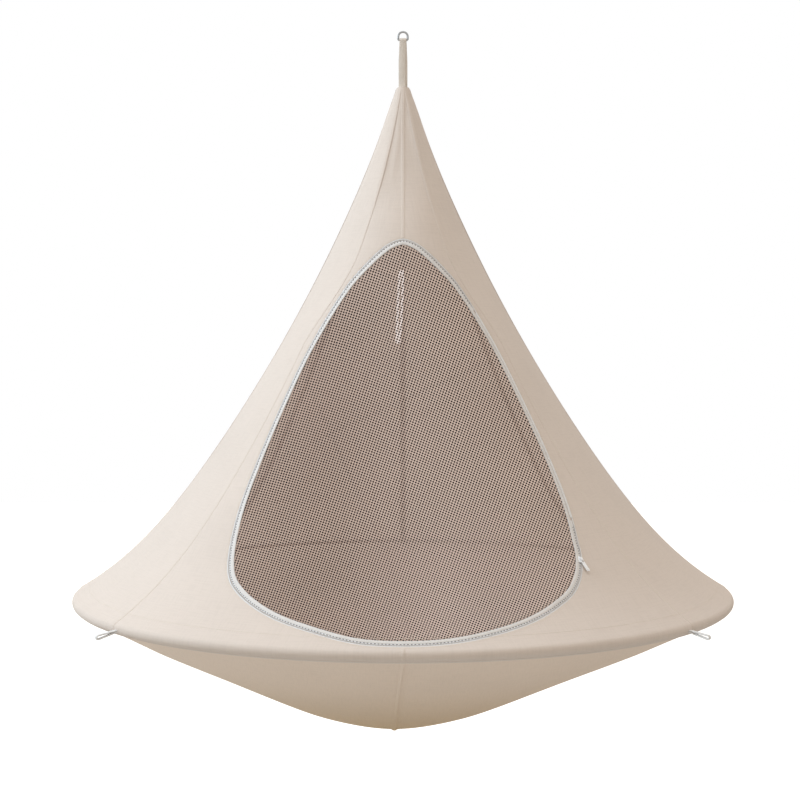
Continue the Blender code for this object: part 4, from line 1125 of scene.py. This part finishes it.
LAP_RISE = 0.0002
LAP_ROW_RISE = 0.0017
lap_line = ring_of(lambda azimuth: lap_point(azimuth, LAP_RISE))
lap_ups = ring_of(lambda azimuth: turned(azimuth, 0.5, HANG_TO_RIM - 1.0).normalized())
LAP_SECTION = (
    (-0.0056, 0.0002), (-0.0050, 0.0012), (0.0, 0.0016), (0.0040, 0.0016), (0.0052, 0.0008),
    (0.0054, -0.0004),
)
lap_stations = line_frames(lap_line, lap_ups, closed=True)
seam_strips.append(swept("rim_lap", lap_stations, LAP_SECTION, canvas, "tent", "canvas", closed=True))
lap_row = ring_of(lambda azimuth: lap_point(azimuth, LAP_ROW_RISE))
TUNNEL_ROW_HEIGHT = 0.0265
tunnel_row = ring_of(lambda azimuth: canvas_point(azimuth, TUNNEL_ROW_HEIGHT, 0.0001))
tunnel_ups = ring_of(lambda azimuth: canopy_normal(azimuth, TUNNEL_ROW_HEIGHT))
rim_rows = [(lap_row, lap_ups), (tunnel_row, tunnel_ups)]
rim_stitches = stitched("rim_stitches", rim_rows, seam_thread, closed=True)
print("rim:", len(rim_stitches.data.polygons) // 20, "stitches")

# %% [markdown]
# Inside the canopy a cloth tunnel holds the ring. It is a tube of thin cloth round the aluminium, with
# small gathers where it is caught by the thread.
# %% sleeve of the ring
SLEEVE_RADIUS = 0.0108
SLEEVE_STEPS = 288
SLEEVE_SIDES = 20


def ring_line_radius(azimuth):
    step = radians(7.5)
    from_middle = azimuth % step - step / 2
    return RING_RADIUS * cos(step / 2) / cos(from_middle)


def sleeve_place(i, j):
    turn = 2 * pi * (i % SLEEVE_SIDES) / SLEEVE_SIDES
    azimuth = 2 * pi * (j % SLEEVE_STEPS) / SLEEVE_STEPS
    inward = clamp(-cos(turn + 0.3))
    gather = 0.0009 * inward * sin(azimuth * 96) * (0.6 + 0.4 * sin(azimuth * 11))
    radius = SLEEVE_RADIUS + gather
    out = ring_line_radius(azimuth) + radius * cos(turn)
    return turned(azimuth, out, radius * sin(turn))


def sleeve_cut(i, j, _):
    return SLEEVE_RADIUS * 2 * pi * i / SLEEVE_SIDES, RING_RADIUS * 2 * pi * j / SLEEVE_STEPS


sleeve_build = lay_grid(SLEEVE_SIDES, SLEEVE_STEPS, sleeve_place, sleeve_cut, close=True)
outwards(sleeve_build)
sleeve_nodes = [f"rim_sleeve_{side}" for side in ("front", "right", "rear", "left")]
ring_sleeve = cloth("ring_sleeve", sleeve_build, sleeve_canvas, "canvas_inner", 0.0010, sleeve_nodes)

# %% [markdown]
# The tunnel's upper edge is bound with a narrow tape, rolled over a cord. The tape is drawn near black:
# painted shade, which draws the dark curve of shade along the back of the tent behind the net. It is swept
# round the canopy's inner face, just above the sleeve, and stops at each side of the doorway.
# %% binding of the tunnel
TUNNEL_BINDING_HEIGHT = 0.0320
TUNNEL_BINDING_DEPTH = CANVAS + 0.0050
TUNNEL_BINDING_SECTION = rounded_section(0.0096, 0.0056)
TUNNEL_BINDING_REACH = radians(128.0)
tunnel_line = []
tunnel_line_ups = []
for k in range(RIM_STEPS + 1):
    turn = pi + TUNNEL_BINDING_REACH * (2 * k / RIM_STEPS - 1.0)
    azimuth = turn - 2 * pi if turn > pi else turn
    tunnel_line.append(canvas_point(azimuth, TUNNEL_BINDING_HEIGHT, -TUNNEL_BINDING_DEPTH))
    tunnel_line_ups.append(canopy_normal(azimuth, TUNNEL_BINDING_HEIGHT))
tunnel_stations = line_frames(tunnel_line, tunnel_line_ups)
tunnel_made = ("tunnel_binding", tunnel_stations, TUNNEL_BINDING_SECTION, tunnel_shade_tape)
tunnel_binding = swept(*tunnel_made, "tent", "webbing")
print("tunnel binding:", len(tunnel_binding.data.polygons), "faces")

# %% [markdown]
# Behind each seam runs a tape that carries the load from the ring to the neck. It is plain webbing, sewn
# flat.
# %% seam tapes inside
TAPE_LOW = FOOT_HEIGHT + 0.013 * cos(LANDING)
TAPE_HIGH = NECK_HEIGHT - 0.095
TAPE_DEPTH = CANVAS + 0.0012
TAPE_SECTION = rounded_section(0.0140, 0.0008)
for number, name in enumerate(SEAM_NAMES):
    low = door_top_height + 0.012 if name == "front" else TAPE_LOW
    points = []
    ups = []
    for k in range(61):
        height = low + (TAPE_HIGH - low) * k / 60
        azimuth = seam_azimuth(number, height)
        # Beside the flat front the tape lies a little deeper, behind the ridge.
        deeper = 0.0024 * ease((height - FRONT_FLAT_FROM) / FRONT_FLAT_FADE) if number in (3, 5) else 0.0
        points.append(canvas_point(azimuth, height, -(TAPE_DEPTH + deeper)))
        ups.append(cloth_normal(azimuth, height))
    stations = line_frames(points, ups)
    node = f"seam_tape_{name}"
    swept(f"shaded_inside_tape_{name}", stations, TAPE_SECTION, shaded_inside_tape, "tent", "webbing", node=node)
print("inside tapes:", len(SEAM_NAMES))

# %% [markdown]
# In the neck a cone of the same canvas lines the canopy and takes the ends of the strap.
# %% lining of the neck
LINING_LENGTH = 0.088
LINING_DEPTH = CANVAS + 0.0006
LINING_ROWS = 14
LINING_COLUMNS = 48


def lining_height(row):
    return NECK_HEIGHT - 0.002 - LINING_LENGTH * (1.0 - row / LINING_ROWS)


def lining_place(column, row):
    azimuth = 2 * pi * (column % LINING_COLUMNS) / LINING_COLUMNS - pi
    return canvas_point(azimuth, lining_height(row), -LINING_DEPTH)


def lining_cut(column, row, _):
    height = lining_height(row)
    return canopy_radius(height) * 2 * pi * column / LINING_COLUMNS, height


lining_build = lay_grid(LINING_COLUMNS, LINING_ROWS, lining_place, lining_cut, close=True)
lining = ("lining_of_the_neck", lining_build, sleeve_canvas, "canvas_inner", 0.0008)
neck_lining = cloth(*lining, ["neck_lining"])

# %% [markdown]
# The screen is cut to the door's outline. A round grid serves it well: its rings shrink from the outline
# to the middle, so the edge is exact, and each point is set on the canopy's own curve.
# %% insect screen
NET_RINGS = 30
NET_MIDDLE = (0.0, 0.30)
NET_EDGE_OUT = -0.0084


def net_place(column, row):
    edge = door_point(column, NET_EDGE_OUT)
    share = row / NET_RINGS
    x = NET_MIDDLE[0] + (edge.x - NET_MIDDLE[0]) * share
    height = NET_MIDDLE[1] + (edge.z + HANG_TO_RIM - NET_MIDDLE[1]) * share
    point = front_point(x, height)
    normal = canopy_normal(atan2(point.x, -point.y), height)
    hollow = 0.004 * (1.0 - share) ** 0.5 * share
    return point - normal * (0.0004 + hollow)


def net_cut(column, row, _):
    """The net is drawn wider towards the foot, where the door bulges outwards."""
    spot = net_place(column, row)
    stretch = 3.1 / (3.5 + spot.y)
    return spot.x * stretch, spot.z * stretch


net_build = lay_grid(DOOR_STEPS, NET_RINGS, net_place, net_cut, close=True)
outwards(net_build)
if net_build.faces[:][0].normal.y > 0:
    bmesh.ops.reverse_faces(net_build, faces=net_build.faces)
insect_screen = cloth("insect_screen", net_build, net, "net", 0.0005, ["door_screen"], body="door")
print("screen:", len(insect_screen.data.polygons), "faces")

# %% [markdown]
# The binding is a white tape folded over the edge of the net and sewn twice. Folded cloth never lies dead
# flat, so its section is a low cushion. The sewn side of the door needs no zip: there the same tape is
# sewn to the canopy, and that strip is the door's hinge.
# %% white binding and the sewn side
BINDING_SECTION = (
    (-0.0122, -0.0004), (-0.0120, 0.0003), (-0.0112, 0.0007), (-0.0098, 0.0008),
    (-0.0083, 0.0011), (-0.0068, 0.0008), (-0.0055, 0.0007), (-0.0046, 0.0003),
    (-0.0044, -0.0004), (-0.0050, -0.0011), (-0.0083, -0.0014), (-0.0116, -0.0011),
)
binding_made = ("white_binding", door_stations(0, DOOR_STEPS), BINDING_SECTION, binding_tape, "door")
binding = swept(*binding_made, closed=True, node="door_binding")
SIDE_SECTION = (
    (-0.0031, -0.0010), (-0.0031, 0.0002), (-0.0010, 0.0004), (0.0010, 0.0004),
    (0.0031, 0.0002), (0.0031, -0.0010),
)
side_stations = door_stations(hinge_first, hinge_last + 1)
swept("sewn_side", side_stations, SIDE_SECTION, white_tape, node="door_side_seam")
ZIP_TAPE_SECTION = (
    (0.0010, -0.0010), (0.0010, -0.0003), (0.0034, -0.0003), (0.0042, -0.0018),
    (0.0063, -0.0026), (0.0063, -0.0034), (0.0036, -0.0026), (0.0030, -0.0010),
)
DOOR_TAPE_SECTION = ((-0.0046, -0.0009), (-0.0046, -0.0003), (-0.0010, -0.0003), (-0.0010, -0.0009))
zip_stations = door_stations(hinge_last, hinge_first + 1 + DOOR_STEPS)
swept("zip_tape", zip_stations, ZIP_TAPE_SECTION, white_tape, node="zip_tape_canopy")
swept("zip_tape_of_the_door", zip_stations[1:-1], DOOR_TAPE_SECTION, white_tape, "door")
BINDING_ROWS = (-0.0110, -0.0076)
BINDING_STITCH = {"closed": True, "pitch": 0.0044, "size": (0.0032, 0.0008, 0.0006)}
COIL_ROW = -0.0030
HEM_ROW = 0.0075
COIL_STITCH = {"pitch": 0.0068, "size": (0.0040, 0.0020, 0.0006)}


def door_row(out, rise, steps=range(DOOR_STEPS)):
    """Points along the door's outline, and the direction off the cloth at each."""
    return [door_point(k, out, rise) for k in steps], [door_ups[k % DOOR_STEPS] for k in steps]


binding_rows = [door_row(out, 0.00085) for out in BINDING_ROWS]
sewn = ("binding_stitches", binding_rows, white_thread, "door", "white_tape")
binding_stitches = stitched(*sewn, **BINDING_STITCH)
coil_rows = [door_row(COIL_ROW, 0.0001, range(hinge_last + 3, hinge_first + DOOR_STEPS - 2))]
stitched("coil_stitches", coil_rows, dark_thread, "door", "zip", **COIL_STITCH)
doorway_stitches = stitched("doorway_stitches", [door_row(HEM_ROW, 0.0001)], seam_thread, closed=True)

# %% [markdown]
# The zip closes three sides of the door. Each row is a coil of grey nylon, and from outside each turn of
# the coil is one short bar across the row. The two rows stand half a pitch apart, as they do when a zip
# is closed.
# %% rows of the zip
TOOTH_PITCH = 0.0030
TOOTH = (0.0016, 0.0013, 0.0013)


def zip_row(name, out, shift, body, node):
    steps = range(hinge_last + 2, hinge_first - 1 + DOOR_STEPS)
    places = spaced(*door_row(out, -0.0004, steps), TOOTH_PITCH)
    build = bmesh.new()
    add_beads(build, [(spot + along * shift, along, up) for spot, along, up in places], TOOTH, "tooth")
    make_piece(name, build, zip_nylon, body, "zip", 30.0, node)
    return len(places)


teeth = zip_row("zip_teeth_door", -0.0010, 0.0, "door", "zip_row_door")
teeth += zip_row("zip_teeth_canopy", 0.0010, TOOTH_PITCH / 2, "tent", "zip_row_canopy")
print("zip:", teeth, "teeth")


# %% [markdown]
# Slider and pull are small castings. Their solids already have the right shape, so copies of them are
# welded, their corners are eased with a bevel as a mould would leave them, and the paint goes on.
# %% slider and pull
def eased_copy(name, node, width, finish, body, slot):
    build = bmesh.new()
    build.from_mesh(frame["nodes"][node].data)
    bmesh.ops.remove_doubles(build, verts=build.verts, dist=0.000005)
    flat = [e for e in build.edges if len(e.link_faces) == 2 and e.calc_face_angle(0.0) < radians(2)]
    bmesh.ops.dissolve_edges(build, edges=flat, use_verts=True)
    outwards(build)
    sharp = [e for e in build.edges if len(e.link_faces) == 2 and e.calc_face_angle(0.0) > radians(50)]
    ease_edges(build, sharp, width, 2)
    make_piece(name, build, finish, body, slot, 35.0, node)


eased_copy("slider_casting", "zip_slider", 0.00035, zip_paint, "slider", "white_metal")
eased_copy("pull_tab", "zip_pull", 0.00030, zip_paint, "pull", "white_metal")

# %% [markdown]
# The tent hangs from a ring bent from steel wire. The strap passes over its straight bar and both legs go
# down into the neck. A strap that has hung for a while lies against itself and is drawn a little askew.
# %% hanging ring
WIRE_RADIUS = 0.0024
RING_INNER_WIDTH = 0.0168
RING_CORNER = 0.0030
BAR_DROP = -0.0140 - WIRE_RADIUS
half_width = RING_INNER_WIDTH / 2 + WIRE_RADIUS
corner_x = half_width - RING_CORNER
corner_z = BAR_DROP + RING_CORNER
ring_stations = []
for middle_x, middle_z, radius, start, stop, steps in (
    (0.0, WIRE_RADIUS - half_width, half_width, 0.0, 180.0, 28),
    (-corner_x, corner_z, RING_CORNER, 180.0, 270.0, 7),
    (corner_x, corner_z, RING_CORNER, 270.0, 360.0, 7),
):
    for k in range(steps + 1):
        angle = radians(start + (stop - start) * k / steps)
        outward = Vector((cos(angle), 0.0, sin(angle)))
        spot = Vector((middle_x, 0.0, middle_z)) + outward * radius
        ring_stations.append((spot, outward, Vector((0, 1, 0))))
ring_made = ("hang_ring", ring_stations, round_section(WIRE_RADIUS, 16), ring_steel, "hanging_ring")
swept(*ring_made, "steel", 60.0, closed=True, node="hanging_ring")

# %% strap
STRAP_WIDTH = 0.0160
STRAP_THICKNESS = 0.0022
STRAP_SKEW = 0.0022
STRAP_CLOSED = 0.0003 + STRAP_THICKNESS / 2
STRAP_SEWN = 0.085
HANG_TO_NECK = 0.1255


def strap_seat(height):
    inside = canopy_radius(height) - CANVAS - 0.0003 - 0.0008 - 0.0010
    return sqrt(inside**2 - (STRAP_WIDTH / 2 + STRAP_SKEW) ** 2) - STRAP_THICKNESS / 2


closing = BAR_DROP - 0.010
parting = 0.020 - HANG_TO_NECK
leg = [(STRAP_CLOSED, closing + (parting - closing) * k / 12) for k in range(13)]
leg.append((strap_seat(NECK_HEIGHT) * 0.9, -HANG_TO_NECK))
for k in range(1, 9):
    sewn = STRAP_SEWN * k / 8
    leg.append((strap_seat(NECK_HEIGHT - sewn), -HANG_TO_NECK - sewn))
bend = WIRE_RADIUS + STRAP_CLOSED
strap_line = [(-y, z) for y, z in reversed(leg)]
for k in range(13):
    angle = pi * (1 - k / 12)
    strap_line.append((bend * cos(angle), BAR_DROP + bend * sin(angle)))
strap_line += leg
strap_stations = []
for k, (y, z) in enumerate(strap_line):
    ahead = strap_line[min(k + 1, len(strap_line) - 1)]
    behind = strap_line[max(k - 1, 0)]
    step = Vector((0.0, ahead[0] - behind[0], ahead[1] - behind[1])).normalized()
    fall = max((BAR_DROP - z) / (BAR_DROP + HANG_TO_NECK), 0.0)
    shift = copysign(STRAP_SKEW, y) * min(fall / 0.45, 1.0)
    strap_stations.append((Vector((shift, y, z)), Vector((1, 0, 0)), Vector((0.0, -step.z, step.y))))
strap_section = rounded_section(STRAP_WIDTH, STRAP_THICKNESS, 4)
strap_made = ("hanging_strap", strap_stations, strap_section, strap_webbing, "tent", "strap")
swept(*strap_made, 60.0, node="hanger_strap")
strap_runs = [(b[0] - a[0]).length for a, b in zip(strap_stations, strap_stations[1:])]
print("strap length", round(sum(strap_runs), 3), "m")


# %% [markdown]
# Four tie loops of white tape stand out from the rim, for guy lines. Each is one length of tape, folded
# back on itself into a drop and caught in the seam under the rim.
# %% tie loops
def drop_outline(length, near, far):
    """An outline of two arcs joined by straights, for a share of the way round."""
    apart = length - near - far
    lean = asin((far - near) / apart)
    straight = apart * cos(lean)
    far_turn = pi + 2 * lean
    near_turn = pi - 2 * lean
    marks = np.cumsum([straight, far * far_turn, straight, near * near_turn])

    def on_arc(middle, radius, angle):
        return middle + radius * cos(angle), radius * sin(angle)

    def point(share):
        run = share * marks[-1]
        if run < marks[0]:
            x, y = on_arc(near, near, -far_turn / 2)
            return x + run * cos(lean), y - run * sin(lean)
        if run < marks[1]:
            return on_arc(length - far, far, (run - marks[0]) / far - far_turn / 2)
        if run < marks[2]:
            back = run - marks[1]
            x, y = on_arc(length - far, far, far_turn / 2)
            return x - back * cos(lean), y - back * sin(lean)
        return on_arc(near, near, (run - marks[2]) / near + far_turn / 2)

    return point


LOOP_WIDTH = 0.0084
LOOP_THICKNESS = 0.0032
LOOP_STEPS = 64
LOOP_ROOT = radians(-20.0)
LOOP_DROOP = radians(10.0)
LOOP_OUTLINE = drop_outline(0.050, 0.0031, 0.0054)
LOOP_SECTION = rounded_section(LOOP_WIDTH, LOOP_THICKNESS)
LOOP_PLACES = {"front_left": -50.0, "front_right": 50.0, "rear_left": -130.0, "rear_right": 130.0}
for name, degrees in LOOP_PLACES.items():
    azimuth = radians(degrees)
    root_radius = ring_line_radius(azimuth) + SLEEVE_RADIUS * cos(LOOP_ROOT)
    root = turned(azimuth, root_radius, SLEEVE_RADIUS * sin(LOOP_ROOT))
    outward = Vector((sin(azimuth), -cos(azimuth), 0.0))
    along = outward * cos(LOOP_DROOP) + Vector((0.0, 0.0, -sin(LOOP_DROOP)))
    tangent = Vector((cos(azimuth), sin(azimuth), 0.0))
    across = tangent.cross(along)
    spots = []
    for k in range(LOOP_STEPS):
        a, b = LOOP_OUTLINE(k / LOOP_STEPS)
        spots.append(root + along * a + across * b)
    stations = []
    for k, spot in enumerate(spots):
        step = (spots[(k + 1) % LOOP_STEPS] - spots[k - 1]).normalized()
        inward = step.cross(tangent).normalized()
        if inward.dot(root + along * 0.025 - spot) < 0:
            inward = -inward
        stations.append((spot + inward * LOOP_THICKNESS / 2, tangent, inward))
    loop = (f"loop_of_tape_{name}", stations, LOOP_SECTION, white_tape, f"loop_{name}", "white_tape", 60.0)
    swept(*loop, closed=True, node=f"tie_loop_{name}")

# %% [markdown]
# A long loop hangs inside from the neck, for a lantern. Its two strands lie together and part near the
# end into an eye like a candle flame. The tape glows, painted light, so that the eye shows white through
# the net. It hangs a little to the left.
# %% lantern loop
LANTERN_LENGTH = 0.552
LANTERN_EYE = 0.170
LANTERN_TAPE = 0.0118
LANTERN_THICKNESS = 0.0012
LANTERN_LEAN = 0.012
LANTERN_PIVOT_DROP = 0.036
LANTERN_BAR_RADIUS = 0.002
lantern_pivot = Vector((0.0, 0.0, -HANG_TO_NECK - LANTERN_PIVOT_DROP))


def lantern_half(drop):
    eye = max((drop - LANTERN_LENGTH + LANTERN_EYE) / LANTERN_EYE, 0.0)
    return (LANTERN_TAPE + 0.0036 * sin(pi * min(eye, 1.0) ** 0.85)) / 2


drops = [LANTERN_TAPE * k / 3 for k in range(1, 4)]
drops += [LANTERN_TAPE + (LANTERN_LENGTH - LANTERN_EYE - LANTERN_TAPE) * k / 24 for k in range(1, 24)]
drops += [LANTERN_LENGTH - LANTERN_EYE + LANTERN_EYE * k / 44 for k in range(44)]
strand = (LANTERN_TAPE - 0.0003) / 2
outline = [(0.0, 0.0)]
for drop in drops:
    half = lantern_half(drop)
    if drop < LANTERN_TAPE:
        half = min(half, LANTERN_TAPE / 2 * sqrt(drop / LANTERN_TAPE))
    outline.append((drop, -half))
outline += [(LANTERN_LENGTH, 0.0)]
outline += [(a, -b) for a, b in reversed(outline[1:-1])]
spots = []
for drop, side in outline:
    lean = LANTERN_LEAN * (drop / LANTERN_LENGTH) ** 3
    spots.append(lantern_pivot + Vector((side - lean, 0.0, -drop)))
stations = []
for k, spot in enumerate(spots):
    side = outline[k][1]
    step = (spots[(k + 1) % len(spots)] - spots[k - 1]).normalized()
    inward = Vector((step.z, 0.0, -step.x))
    if inward.x * side > 0:
        inward = -inward
    if abs(side) < 1e-6:
        inward = Vector((0.0, 0.0, -1.0 if k == 0 else 1.0))
    stations.append((spot + inward * strand / 2, inward, Vector((0, 1, 0))))
lantern_build = sweep(stations, rounded_section(strand, LANTERN_THICKNESS, 2), closed=True)
bar_seat = NECK_HEIGHT - LANTERN_PIVOT_DROP + LANTERN_BAR_RADIUS
bar_half = strap_seat(bar_seat) - STRAP_THICKNESS / 2 - 0.0005
bar_place = Matrix.Translation(lantern_pivot) @ Matrix.Rotation(pi / 2, 4, "X")
bmesh.ops.create_cone(
    lantern_build,
    cap_ends=True,
    segments=16,
    radius1=LANTERN_BAR_RADIUS,
    radius2=LANTERN_BAR_RADIUS,
    depth=2 * bar_half,
    matrix=bar_place,
)
lantern_made = ("lantern_loop_tape", lantern_build, glowing_lantern_tape, "lantern", "white_tape")
lantern = make_piece(*lantern_made, node="lantern_loop")
# Above the eye the loop is a cord in the finish of the neck's lining, whose darker colour is painted shade
# and whose faint glow is painted light.
lantern.data.materials.append(sleeve_canvas)
eye_top = lantern_pivot.z - LANTERN_LENGTH + LANTERN_EYE + 0.004
for face in lantern.data.polygons:
    if face.center.z > eye_top:
        face.material_index = 1

# %% [markdown]
# The felled seam strips of the bowl are gathered in a list.
# %% sheets
bowl_strips = [strip for strip in seam_strips if "bowl" in strip.name]

# %% [markdown]
# The stage is a plain pale floor under the hanging tent and a white surround. To the camera the surround
# is white; the light it gives the tent is softer. One wide lamp stands at the left, like a window, and
# one hangs overhead.
# %% floor and surround
stage_build = bmesh.new()
FLOOR_PLACE = Matrix.Translation((0.0, 3.0, -2.30))
bmesh.ops.create_grid(stage_build, x_segments=4, y_segments=4, size=9.0, matrix=FLOOR_PLACE)
floor_mesh = bpy.data.meshes.new("floor")
stage_build.to_mesh(floor_mesh)
stage_build.free()
show(bpy.data.objects.new("floor", floor_mesh))


def seen_by_camera(tree):
    """One for light that reaches the camera, straight or by a mirror or glass, and nought for the rest."""
    path = tree.nodes.new("ShaderNodeLightPath")
    seen = path.outputs["Is Camera Ray"]
    for ray in ("Is Glossy Ray", "Is Transmission Ray"):
        both = tree.nodes.new("ShaderNodeMath")
        both.operation = "MAXIMUM"
        tree.links.new(seen, both.inputs[0])
        tree.links.new(path.outputs[ray], both.inputs[1])
        seen = both.outputs[0]
    return seen


floor_finish = Finish("pale_floor", (0.60, 0.59, 0.57), 0.9)
floor_light = floor_finish.math("MULTIPLY", seen_by_camera(floor_finish.tree), 0.85)
floor_finish.set("Emission Color", (1.0, 1.0, 1.0, 1.0))
floor_finish.tree.links.new(floor_light, floor_finish.shader.inputs["Emission Strength"])
floor_mesh.materials.append(floor_finish.material)

world = bpy.data.worlds.new("white surround")
bpy.context.scene.world = world
world.use_nodes = True
tree = world.node_tree
background = tree.nodes["Background"]
tint = tree.nodes.new("ShaderNodeMix")
tint.data_type = "RGBA"
tint.inputs[6].default_value = (0.662, 0.598, 0.516, 1.0)
tint.inputs[7].default_value = (1.0, 1.0, 1.0, 1.0)
tree.links.new(seen_by_camera(tree), tint.inputs[0])
tree.links.new(tint.outputs[2], background.inputs["Color"])
background.inputs["Strength"].default_value = 1.0


# %% lamps
TENT_MIDDLE = Vector((0.0, 0.0, -0.9))


def lamp(name, place, size, power, colour):
    data = bpy.data.lights.new(name, "AREA")
    data.shape = "RECTANGLE"
    data.size = size[0]
    data.size_y = size[1]
    data.energy = power
    data.color = colour
    made = show(bpy.data.objects.new(name, data))
    made.location = place
    made.rotation_euler = (TENT_MIDDLE - Vector(place)).to_track_quat("-Z", "Y").to_euler()


lamp("left_window", (-4.3, -0.8, 1.9), (2.4, 2.6), 164.0, (0.70, 0.865, 1.0))
lamp("overhead", (0.0, -0.8, 6.0), (5.0, 5.0), 148.0, (0.91, 0.95, 1.0))
